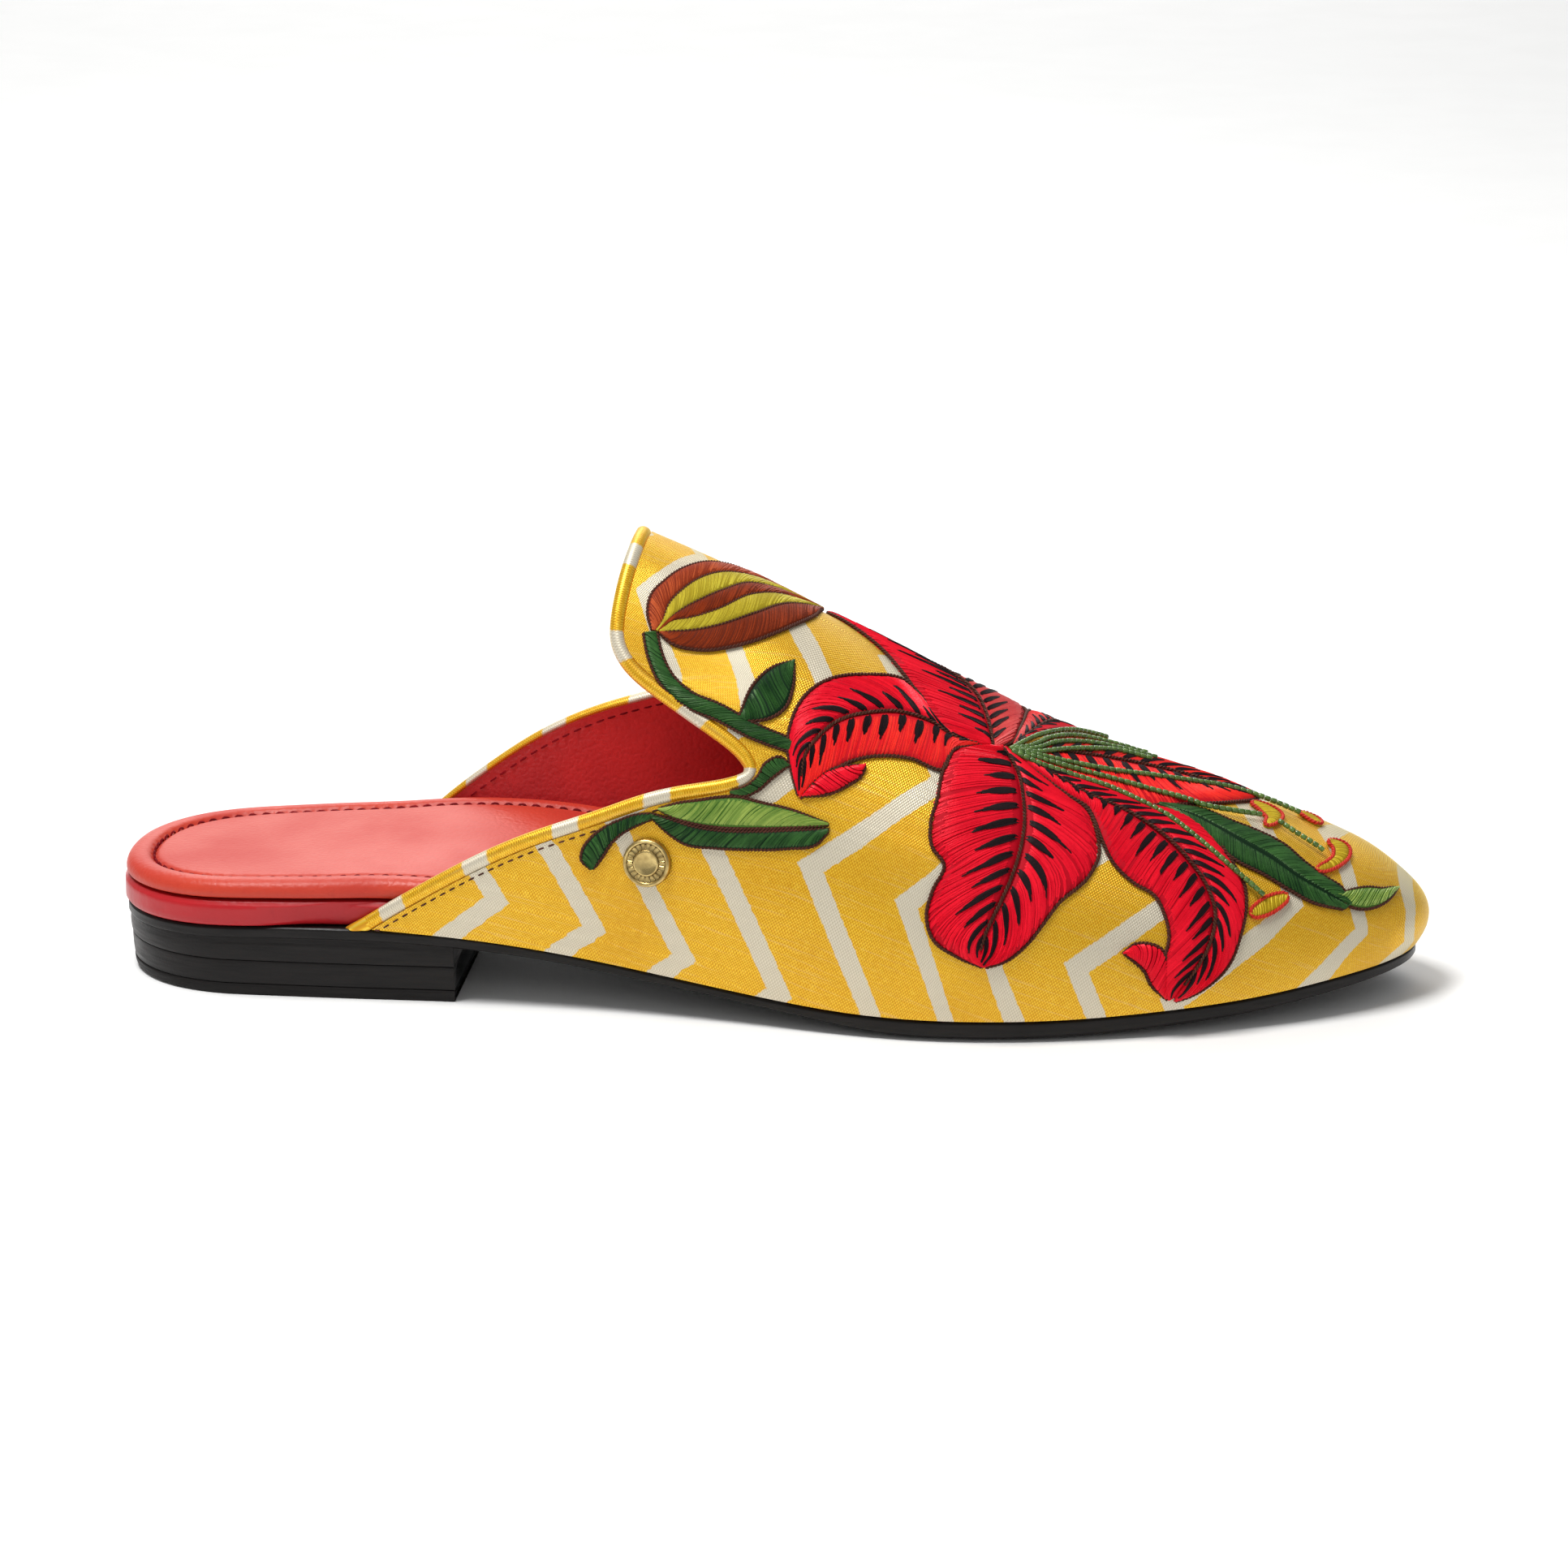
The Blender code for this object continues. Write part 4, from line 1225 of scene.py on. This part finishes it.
# %% Thread colours
red_threads = thread_finish("red_threads", (252, 28, 50), (208, 8, 34), 0.33)
scarlet_threads = thread_finish("scarlet_threads", (255, 64, 50), (224, 24, 38), 0.33)
coral_threads = thread_finish("coral_threads", (232, 84, 80), (198, 40, 48), 0.38)
black_threads = thread_finish("black_threads", (36, 24, 28), (18, 12, 14), 0.5)
dark_green_threads = thread_finish("dark_green_threads", (60, 104, 50), (20, 50, 26), 0.34)
light_green_threads = thread_finish("light_green_threads", (164, 186, 90), (84, 124, 48), 0.34)
terracotta_threads = thread_finish("terracotta_threads", (204, 96, 52), (150, 54, 26), 0.4)
rust_threads = thread_finish("rust_threads", (168, 66, 30), (112, 38, 14), 0.4)
lime_threads = thread_finish("lime_threads", (226, 212, 72), (176, 156, 34), 0.36)
gold_threads = thread_finish("gold_threads", (228, 204, 58), (184, 150, 22), 0.36)
brown_cord = thread_finish("brown_cord", (96, 56, 44), (54, 28, 24), 0.6)
red_cord = thread_finish("red_cord", (220, 62, 46), (176, 34, 28), 0.45)

# %% [markdown]
# ## The lily
# Six petals open from one point on the outer side of the vamp. Each has a rib, a dark feathering
# beside it and two fields of red thread that lean towards the tip. The lower and outer petals are
# wide with a waist, the one towards the heel curls round, and three reach over the ridge.

# %% Petal shapes
PETALS = {
    "curled": Shape([(170.5, 58), (166.6, 56), (164.5, 50.5), (158.5, 52), (152.5, 51.5),
                     (147.5, 49.5), (142.5, 45.5), (139.5, 42.5), (138, 40.5)],
                    [(170.5, 58.3), (165.5, 59.5), (161.5, 62), (156.5, 62.7), (149.5, 60.5),
                     (144.5, 57.5), (141, 53.5), (138.5, 49), (138, 43.5)],
                    [(170.5, 58.6), (166, 59.7), (161.5, 64.5), (159, 69.5), (155.5, 73),
                     (148.5, 70.5), (142, 66.5), (137.5, 61), (135.5, 55.5), (135, 50),
                     (136, 45.5), (137.5, 41)]),
    "upright": Shape([(171, 58.5), (166, 59.5), (161.5, 64.5), (155.5, 75), (149.5, 84), (143.5, 90),
                      (139, 95)],
                     [(173.5, 58.5), (172.7, 63.5), (171.3, 70), (168.5, 79), (162.5, 88),
                      (152.5, 94.5), (141, 97)],
                     [(175, 58.5), (177.2, 61.5), (178.2, 67), (178.8, 74), (178.5, 82), (174, 93),
                      (165, 100), (152, 101), (140, 97)]),
    "far": Shape([(177.5, 61), (178.6, 70), (179, 80), (180, 92), (184, 101), (189, 105)],
                 [(177.5, 60), (181, 69), (184, 80), (187, 92), (189, 104)],
                 [(177.7, 59.5), (180.5, 65), (184.5, 72), (190, 80), (194, 90), (193.5, 99),
                  (189.5, 105)]),
    "toeward": Shape([(180, 61), (185, 68), (190, 73), (198, 74), (207, 71), (216, 64), (222, 57),
                      (225, 52.5)],
                     [(179.5, 59.5), (188, 61.5), (196, 62.5), (206, 61.5), (216, 57), (224, 52)],
                     [(179, 57.5), (184, 53), (189, 49.8), (196, 46.3), (204, 45.3), (212, 45.9),
                      (220, 47.3), (224, 49.5), (225, 51.5)]),
    "slender": Shape([(179, 57.5), (186, 54.5), (193, 51.5), (199, 48.5), (204, 45.5), (210, 43),
                      (214, 39.5), (218, 33.5), (221, 27.5), (223, 23), (223.5, 18.5), (222.5, 12.5),
                      (220.5, 7.5), (216.5, 4), (213, 2.5), (210.5, 2)],
                     [(179, 57.3), (186, 52), (193, 47), (199, 43.5), (206, 37.5), (212, 30), (216, 23),
                      (217.5, 17.5), (216.5, 12), (213.5, 7), (210.5, 3.5)],
                     [(178, 57), (183.7, 51.8), (188.7, 47.2), (192.3, 44.3), (193.8, 41),
                      (195.5, 36), (198, 30.5), (202, 26), (206, 23), (208, 19), (209, 14.5),
                      (208, 10), (207, 7), (207.5, 4), (209, 2.5)]),
    "broad": Shape([(176, 58.5), (183.5, 51.5), (188.5, 47), (192, 44), (194.5, 37.5), (195, 32),
                    (193, 27.5), (188, 23), (185.5, 19.5), (182, 15), (178, 12), (174.5, 11)],
                   [(175.5, 58), (178.5, 52), (180, 45), (180.5, 39.5), (180, 33.5), (178.5, 27.5),
                    (176.5, 22.5), (174.5, 18), (173, 13)],
                   [(175, 58.7), (171, 58.2), (166.8, 56.3), (164.6, 50), (164, 44), (163, 38.5),
                    (163.5, 34), (166, 30.5), (164, 25.5), (163, 20.5), (164.5, 16), (169, 13),
                    (174, 11)]),
}
FLAPS = {
    "curled_flap": band([(138.5, 41), (143, 42), (147, 44.5), (149.5, 47), (150, 49)],
                        [(138.5, 41), (140, 43.5), (142, 46), (145.5, 48), (150, 49)]),
    "slender_flap": band([(208.5, 3), (208.8, 9.5), (208, 12), (205.5, 13.6), (202.5, 13.8),
                          (200.5, 12.4)],
                         [(208.5, 3), (206, 5.5), (204.5, 8.5), (201.5, 11.5), (200.5, 12.4)]),
}
# height over the cloth in millimetres, then the thread and its lean in the left and right field
PETAL_LOOKS = {
    "curled": (0.25, (scarlet_threads, 7), (red_threads, 9)),
    "upright": (0.35, (red_threads, 14), (coral_threads, 11)),
    "far": (0.2, (coral_threads, 6), (red_threads, 6)),
    "toeward": (0.3, (scarlet_threads, 9), (scarlet_threads, 9)),
    "slender": (0.45, (red_threads, 9), (red_threads, 7)),
    "broad": (0.55, (red_threads, 11), (red_threads, 6)),
}
print("petals", {name: round(shape.length) for name, shape in PETALS.items()}, "mm long")

# %% Petals and flaps
PETAL_CROWN, PETAL_PAD = 0.6, 0.5
PAD_EDGE = 0.96
RIB_END, RIB_RAISE = 0.97, 0.5

for name, shape in PETALS.items():
    lift, left, right = PETAL_LOOKS[name]
    feathers = []
    for side, half, (finish, slant) in ((1, "left", left), (-1, "right", right)):
        padding(f"{name}_{half}_padding", shape, 0, side * PAD_EDGE, lift - 0.25, PETAL_PAD, finish)
        rows = satin_rows(shape, 0, side, slant, lift, PETAL_CROWN)
        sewn(f"{name}_{half}_threads", rows, finish)
        feathers += feather_paths(shape, side, slant, lift, PETAL_CROWN)
    sewn(f"{name}_feathers", feathers, black_threads, FEATHER_TAPER)
    cords(f"{name}_cord", [shape.edge(1), shape.edge(-1)], brown_cord, lift=0.4)
    rib = twisted_paths(shape.edge(0, 0, RIB_END), lift + RIB_RAISE)
    sewn(f"{name}_rib", rib, brown_cord)

for name, shape in FLAPS.items():
    padding(f"{name}_padding", shape, -PAD_EDGE, PAD_EDGE, 0.25, PETAL_PAD, red_threads)
    sewn(f"{name}_threads", satin_rows(shape, -1, 1, 2, 0.5, PETAL_CROWN), red_threads)
    cords(f"{name}_cord", [shape.outline()], brown_cord)

# %% [markdown]
# ## Bud, stem and leaves
# A striped bud hangs on a dark green stem that runs round the notch to the flower. Five leaves are
# filled with slanted satin stitch in two greens. The bud's bands are strips of one almond shape,
# each strip its own row of stitches between brown cords.

# %% Shapes of the leaves and the stem
# each has its shape, its thread and the lean of its rows in millimetres
LEAVES = {
    "stem": (around([(107.5, 66.5), (108.7, 62.3), (111.3, 58), (115.6, 55.2), (121.2, 54), (128, 51.8),
                     (135.5, 50.4)], 1.5, STRAP), dark_green_threads, 4.0),
    "stem_leaf": (band([(125.5, 54), (127.8, 61), (131.6, 66), (135, 68.3)],
                       [(127, 53.5), (130.8, 54.6), (134, 57.5), (135.3, 62.5), (135, 68.3)]),
                  dark_green_threads, 3.5),
    "notch_leaf": (band([(135.5, 46.5), (134, 47.7), (131, 46), (129.5, 43), (127, 40.5),
                         (124.5, 39.2)],
                        [(135.5, 46.5), (132, 43), (129.5, 40.3), (127, 38.9), (124.5, 38.9)]),
                   dark_green_threads, 2.5),
    "long_leaf_top": (band([(110.5, 33), (113.5, 34.6), (118, 36.2), (122, 37.6), (126, 38.5),
                            (130, 38.3), (136, 38), (143.5, 36.4)],
                           [(110.5, 33), (113, 32.1), (117, 31.7), (123.5, 32), (130.5, 33.3),
                            (136.5, 34.6), (143.5, 36.2)]), light_green_threads, 5.5),
    "long_leaf_under": (band([(109, 31.8), (113, 31.5), (117, 31.1), (123.5, 31.4), (130.5, 32.7),
                              (136.5, 34), (143.5, 35.4)],
                             [(109, 31.2), (112, 29), (115.6, 27.4), (121.5, 27.8), (128.5, 28.9),
                              (136, 30.5), (141.5, 32.2), (143.5, 34.8)]), dark_green_threads, 3.5),
    "hooked_leaf": (band([(109, 30.8), (105.3, 28.4), (102.7, 26.3), (101, 24.2), (99.6, 21.7),
                          (97.8, 19)],
                         [(109, 31.8), (106, 30.9), (102.5, 29), (99.5, 27), (97, 24.5), (95.5, 22),
                          (95.3, 20), (97, 18.7)]), dark_green_threads, 3.0),
    "toe_leaf": (Shape([(206, 45.8), (210, 45.3), (214.5, 44), (219.5, 40.3), (225.5, 36), (230, 32),
                        (234.7, 25.8), (238.6, 21.4), (241.6, 18.4), (243.5, 14.5)],
                       [(206, 45.5), (212, 42.3), (217.5, 37.8), (222.5, 33.2), (228, 28.2), (233, 23),
                        (238, 18.5), (243, 14)],
                       [(206, 45.3), (212, 39.5), (217, 33.5), (221, 29), (227, 24.3), (232, 19.9),
                        (236.5, 16.3), (242, 13.6)]), dark_green_threads, 4.5),
    "toe_leaf_tip": (around([(241, 16.8), (245.5, 15), (249.3, 14.3), (252.5, 15.5)], 2.2),
                     light_green_threads, 2.2),
}

# %% Leaves and stem
PAD_LIFT, ROW_LIFT = 0.05, 0.25
LEAF_EDGE = 0.95

for name, (shape, finish, slant) in LEAVES.items():
    if name == "toe_leaf":   # the widest leaf has a middle rib and a field on each side of it
        rows = []
        for side, half in ((1, "left"), (-1, "right")):
            padding(f"{name}_{half}_padding", shape, 0, side * LEAF_EDGE, PAD_LIFT, 0.35, finish)
            rows += satin_rows(shape, 0, side, slant, ROW_LIFT, 0.5)
    else:
        padding(f"{name}_padding", shape, -LEAF_EDGE, LEAF_EDGE, PAD_LIFT, 0.4, finish)
        rows = satin_rows(shape, -1, 1, slant, ROW_LIFT, 0.55)
    sewn(f"{name}_threads", rows, finish)
    cords(f"{name}_cord", [shape.outline()], brown_cord)

# %% Bud
BUD_TIP = (138.5, 91)
BUD_LINES = (
    [(107.8, 67.3), (106.8, 70), (107, 74), (109.5, 78.5), (113.5, 84), (118.5, 89.5), (126, 94.5),
     BUD_TIP],
    [(108.6, 67.4), (109.7, 69.3), (110.5, 73), (113, 77.5), (116.5, 82.3), (121.5, 87.5), (129, 92),
     BUD_TIP],
    [(109, 67.4), (111, 70.3), (113.3, 73), (117, 76.7), (121, 81), (125.2, 86.2), (131, 90), BUD_TIP],
    [(109.2, 67.4), (111.5, 70), (114.8, 71.5), (120, 75.2), (126, 82.4), (132, 88), BUD_TIP],
    [(109.4, 67.3), (112, 68), (115, 68.9), (120.2, 71.5), (126.6, 76.8), (133, 85), BUD_TIP],
    [(109.4, 67), (111.6, 65.5), (116.5, 65.3), (123.2, 67.7), (129.7, 72.4), (133.5, 76.7),
     (137.5, 84), BUD_TIP],
)
BUD_SLANT, BUD_EDGE = -4.5, 0.97
BUD_COLOURS = (terracotta_threads, lime_threads, rust_threads, lime_threads, rust_threads)
for number, (above, below, finish) in enumerate(zip(BUD_LINES, BUD_LINES[1:], BUD_COLOURS)):
    strip = band(above, below)
    padding(f"bud_padding_{number}", strip, BUD_EDGE, -BUD_EDGE, PAD_LIFT, 0.45, finish)
    sewn(f"bud_threads_{number}", satin_rows(strip, 1, -1, BUD_SLANT, ROW_LIFT, 0.5), finish)
cords("bud_cord", [flowing_line(line, 90)[0] for line in BUD_LINES], brown_cord, lift=0.4)

# %% [markdown]
# ## Stamens
# The stamens are strings of small green glass beads, sewn down from the flower's throat towards the
# toe. One bead is a short tube with rounded rims; each string copies it along its line. Gold anthers
# in red outlines end them.

# %% Lines of the bead strings
STAMENS = {
    "high": [(177, 58), (180, 62.5), (184, 68), (188.5, 73.5), (194, 77)],
    "inner": [(177, 58), (180.2, 59.8), (184, 65), (189, 69.5), (195, 70.8), (202, 69.5)],
    "middle": [(177.6, 58), (181, 59.2), (185.5, 63.8), (191, 67), (197, 68), (204, 67)],
    "under": [(178, 57.8), (181.5, 58.2), (186.5, 61), (192, 64), (197, 66.2), (203, 65)],
    "long": [(177.5, 57.8), (183.5, 57.2), (190, 56.3), (197.5, 55.5), (204.5, 55.3), (212, 54.4),
             (218.5, 53.4), (224, 50.6), (228, 47.5), (232.4, 43.4)],
    "low": [(177.5, 57.4), (183.5, 56), (190, 54.3), (197.7, 52), (204.7, 49.2), (210.5, 46.7),
            (215, 44), (219, 42.6), (225, 40.8)],
    "low_end": [(229.3, 37.8), (232.5, 33.8), (234.8, 31.3), (237.2, 28.4)],
    "side": [(177.5, 57), (181.7, 55), (188.7, 52.5), (195.5, 49.8), (201.5, 46), (207.2, 41.5),
             (213, 35.2), (219.2, 28), (226, 20.3)],
}
print("bead strings", {name: round(flowing_line(line)[1]) for name, line in STAMENS.items()}, "mm")

# %% One bead
BEAD_PITCH = 1.28 * MM
BEAD_LENGTH = BEAD_PITCH * 0.96
BEAD_RADIUS = 0.54 * MM
BEAD_BEVEL = 0.13 * MM


def rounded_bead():
    """a short tube with rounded rims, its axis along X"""
    bpy.ops.object.select_all(action="DESELECT")
    bpy.ops.mesh.primitive_cylinder_add(vertices=8, radius=BEAD_RADIUS, depth=BEAD_LENGTH,
                                        rotation=(0, math.pi / 2, 0))
    bead = bpy.context.object
    bpy.ops.object.transform_apply()
    choose_faces(bead, lambda face: abs(face.normal.x) > 0.9)
    with editing(bead):
        bpy.ops.mesh.bevel(offset=BEAD_BEVEL, segments=1)
    return bead


bead_glass, tree, shader = new_finish("bead_glass", (84, 120, 46), 0.18, Coat_Weight=0.3)
tint = noise(tree, place_of(tree), 0.0012, 1.0)
glass = laid_over(tree, (62, 94, 34), (98, 130, 56), tint, 0.3, 0.7)
feed_shader(tree, shader, Base_Color=glass)

# %% Bead strings
BEAD_LIFT = 1.3
BEAD_TILT = 0.07
BEAD_SIZES = (0.93, 1.06)


def string_of_beads(name, points, bead):
    """copies of a bead along a chart line, joined into one piece"""
    line = flowing_line(points)[0]
    path = evenly(on_cloth(*line.T, BEAD_LIFT), BEAD_PITCH)
    beads = []
    for place, direction, normal in zip(path, directions(path), nearest_on(skin_tree, path)[1]):
        side = Vector(normal).cross(Vector(direction)).normalized()
        up = Vector(direction).cross(side)
        turn = Matrix((direction, side, up)).transposed().to_4x4()
        roll = Matrix.Rotation(draw.uniform(0, math.pi), 4, "X")
        tilt = Matrix.Rotation(draw.normal(0, BEAD_TILT), 4, "Z")
        size = Matrix.Scale(draw.uniform(*BEAD_SIZES), 4)
        mesh = bead.data.copy()
        mesh.transform(Matrix.Translation(place) @ turn @ tilt @ roll @ size)
        copy = bpy.data.objects.new(name, mesh)
        bpy.context.scene.collection.objects.link(copy)
        beads.append(copy)
    settle(joined(name, beads), bead_glass, "satin", sharp=50)


bead = rounded_bead()
for name, points in STAMENS.items():
    string_of_beads(f"stamen_{name}", points, bead)
bpy.data.objects.remove(bead)

# %% Anthers
ANTHERS = {
    "anther_side": around([(224.4, 16.6), (227.4, 17.7), (231.2, 18.9)], 1.35, BAR),
    "anther_toe": around([(239.1, 31.9), (241.1, 29.4), (241.1, 25.6), (239, 24), (236.8, 23.6)],
                         1.2, BAR),
    "anther_low": around([(224, 47.8), (226.7, 44.7), (228.2, 40.8), (227, 37.8)], 1.3, BAR),
    "anther_long": around([(233.3, 45.7), (235.2, 43.4), (237, 39.8)], 0.95, BAR),
}
ANTHER_EDGE = 0.9
ANTHER_PLY = 0.22 * MM

for name, shape in ANTHERS.items():
    padding(f"{name}_padding", shape, -ANTHER_EDGE, ANTHER_EDGE, 0.1, 0.4, gold_threads)
    rows = satin_rows(shape, -ANTHER_EDGE, ANTHER_EDGE, 0.6, 0.35, 0.4)
    sewn(f"{name}_threads", rows, gold_threads)
    cords(f"{name}_cord", [shape.outline()], red_cord, lift=0.6, ply=ANTHER_PLY)

# %% [markdown]
# ## Snap cap
# A brass cap covers the snap's rivet on the outer side: a domed rim, a flat ring with small notches,
# and a raised button with a dimple. Its profile is spun round its axis, and notches are inset in the
# ring one face at a time. The finish is worn brass with random tarnish, and shade is painted dark
# brown into its recesses, so that it is bright on the rims and dull in the ring.

# %% Spun brass cap
CAP_RADIUS = 4.75 * MM
CAP_HEIGHT = 1.6 * MM
CAP_PROFILE = ((1.0, 0.0), (1.0, 0.5), (0.97, 0.78), (0.9, 0.93), (0.84, 0.9), (0.8, 0.72),
               (0.56, 0.72), (0.52, 0.94), (0.47, 1.0), (0.42, 0.92), (0.3, 0.84), (0.0, 0.8))
SPIN_STEPS = 64

profile = bpy.data.curves.new("snap_cap", "CURVE")
profile.dimensions = "3D"
corners = profile.splines.new("POLY").points
corners.add(len(CAP_PROFILE) - 1)
for corner, (radius, height) in zip(corners, CAP_PROFILE):
    corner.co = (radius * CAP_RADIUS, 0, height * CAP_HEIGHT, 1)
cap = bpy.data.objects.new("snap_cap", profile)
bpy.context.scene.collection.objects.link(cap)
pick(cap)
bpy.ops.object.convert(target="MESH")
cap = bpy.context.object
finish_with(cap, "SCREW", steps=SPIN_STEPS, render_steps=SPIN_STEPS,
            use_merge_vertices=True, merge_threshold=0)
with editing(cap, "SELECT"):
    bpy.ops.mesh.normals_make_consistent(inside=False)
print("cap profile spun,", len(cap.data.polygons), "faces")

# %% Notches, worn edges and place
RING = (0.58, 0.78)
NOTCH_INSET, NOTCH_RISE = 0.12 * MM, 0.16 * MM
CAP_WEAR = 0.06 * MM
CAP_GAP = 0.05 * MM


def on_ring(face):
    """true for the level faces of the cap's flat ring"""
    share = math.hypot(*face.center[:2]) / CAP_RADIUS
    return RING[0] < share < RING[1] and abs(face.normal.z) > 0.9


ring = [face for face in cap.data.polygons if on_ring(face)]
ring.sort(key=lambda face: math.atan2(face.center.y, face.center.x))
notches = {face.index for face in ring[::3]}
choose_faces(cap, lambda face: face.index in notches)
with editing(cap):
    bpy.ops.mesh.inset(thickness=NOTCH_INSET, use_individual=True)
    bpy.ops.transform.translate(value=(0, 0, NOTCH_RISE))
finish_with(cap, "BEVEL", width=CAP_WEAR, segments=2, limit_method="ANGLE",
            angle_limit=math.radians(35))

cap_low, cap_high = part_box("side_stud")
cap_seat, cap_axis = nearest_on(skin_tree, [(cap_low + cap_high) / 2])
cap_seat, cap_axis = Vector(cap_seat[0]), Vector(cap_axis[0])
lay = cap_axis.to_track_quat("Z", "Y").to_matrix().to_4x4()
cap.data.transform(Matrix.Translation(cap_seat + cap_axis * CAP_GAP) @ lay)
print(len(notches), "notches, cap at", [round(c / MM, 1) for c in cap_seat])

# %% Worn brass, with shade painted into its recesses
worn_shaded_brass, tree, shader = new_finish("worn_shaded_brass", (190, 164, 104), 0.3, Metallic=1.0)
place = place_of(tree)
tarnish = noise(tree, place, 0.0015)
scratches = noise(tree, place, 0.0004)
# painted shade: an ambient occlusion node finds the cap's recesses, which are painted dark brown
hollow_shade = node(tree, "AmbientOcclusion", {"Distance": 0.0012}, samples=8).outputs["AO"]
brass = laid_over(tree, (204, 180, 120), (140, 112, 64), tarnish, 0.4, 0.7, 0.0, 0.6)
brass = laid_over(tree, (58, 38, 18), brass, hollow_shade, 0.45, 0.95)
rough = spread(tree, tarnish, 0.3, 0.7, 0.24, 0.42)
feed_shader(tree, shader, Base_Color=brass, Roughness=rough)
raise_surface(tree, shader, (tarnish, 0.00004), (scratches, 0.00002))
settle(cap, worn_shaded_brass, "stud_brass", "side_stud", sharp=30)

# %% [markdown]
# ## Padded sock
# The sock is a soft pad under coral leather with a sewn channel that follows its rim. The CAD pad is
# subdivided until its faces are about a millimetre, and its top is then pressed down along a line
# set in from the rim, as a seam presses foam. Stitches lie in that channel.

# %% Rim and channel
SOCK_SWELL = 0.35 * MM
CHANNEL_INSET = 5.4 * MM
HEEL_CENTRE = Vector((-0.1, MIDDLE_Y, 0))
INNER_STATIONS, OUTER_STATIONS = (0.03, -0.1, -0.004), (-0.096, 0.034, 0.004)
FAR = 0.1   # rays towards the sock start this far out
RIM_SMOOTHING = 6

sock = copy_of("insole_sock", "sock")
swell(sock, SOCK_SWELL)
round_off(sock, 2)
sock_tree = tree_of(sock)
sock_low, sock_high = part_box("insole_sock")


def sock_edge(start, direction):
    """the sock's edge seen from above, found by a level ray towards it at the height of its rim"""
    found = None
    for height in np.arange(sock_low.z, sock_high.z, 0.5 * MM):
        origin = Vector((start[0], start[1], height))
        hit, normal, face, distance = sock_tree.ray_cast(origin, direction)
        if hit is not None and (found is None or distance < found[1]):
            found = (hit, distance)
    return found[0]


rim = [sock_edge((x, MIDDLE_Y + FAR), Vector((0, -1, 0))) for x in np.arange(*INNER_STATIONS)]
for turn in np.radians(np.arange(90, 271, 6)):
    direction = Vector((math.cos(turn), math.sin(turn), 0))
    rim.append(sock_edge(HEEL_CENTRE + direction * FAR, -direction))
rim += [sock_edge((x, MIDDLE_Y - FAR), Vector((0, 1, 0))) for x in np.arange(*OUTER_STATIONS)]
rim = evenly(np.array(rim) * (1, 1, 0), 1 * MM)
for repeat in range(RIM_SMOOTHING):
    rim[1:-1] = rim[1:-1] * 0.5 + (rim[:-2] + rim[2:]) * 0.25
inward = np.cross(directions(rim), (0, 0, -1))
channel = evenly(rim + inward * CHANNEL_INSET, SEAM_STEP)
print("channel", round(len(channel) * SEAM_STEP / MM), "mm long")

# %% Sock with a sewn channel
CHANNEL_DEPTH = 0.6 * MM
CHANNEL_WIDTH = 0.7 * MM
CHANNEL_NEAR = 3 * MM
PUCKER = 0.22
TOP_FROM = 0.4
SOCK_STITCH, SOCK_GAP = 2.0 * MM, 0.7 * MM


def channel_gap(point):
    """how far a place is from the channel seen from above, and how far along the channel"""
    gaps = ((channel[:, :2] - np.array(point)[:2]) ** 2).sum(1)
    step = int(np.argmin(gaps))
    return math.sqrt(gaps[step]), step * SEAM_STEP


choose_faces(sock, lambda face: face.normal.z > TOP_FROM
             and channel_gap(face.center)[0] < CHANNEL_NEAR)
with editing(sock):
    bpy.ops.mesh.subdivide(number_cuts=3, smoothness=0)
sock_corners = corners_of(sock)
normals = np.array([vertex.normal for vertex in sock.data.vertices])
for i in np.nonzero(normals[:, 2] > TOP_FROM)[0]:
    gap, along = channel_gap(sock_corners[i])
    pucker = 1 + PUCKER * math.cos(2 * math.pi * along / (SOCK_STITCH + SOCK_GAP))
    sock_corners[i, 2] -= CHANNEL_DEPTH * pucker * math.exp(-(gap / CHANNEL_WIDTH) ** 2)
move_corners(sock, sock_corners)
sock_tree = tree_of(sock)
settle(sock, sock_leather, "sock_leather", "insole_sock", sharp=60)

# %% Stitches in the channel
STITCH_RAISE = 0.25 * MM

tops = [sock_tree.ray_cast(Vector((p[0], p[1], FAR)), Vector((0, 0, -1))) for p in channel]
seat_line = np.array([top[0] for top in tops]) + (0, 0, STITCH_RAISE)
seat_normals = np.array([top[1] for top in tops])
coral_thread = thread_finish("coral_thread", (132, 16, 28), (96, 8, 18), 0.65)
sock_seam = stitch_paths(seat_line, seat_normals, SOCK_STITCH, SOCK_GAP, 0.3 * MM)
settle(threads("sock_stitches", sock_seam, 0.24 * MM), coral_thread, "sock_leather")
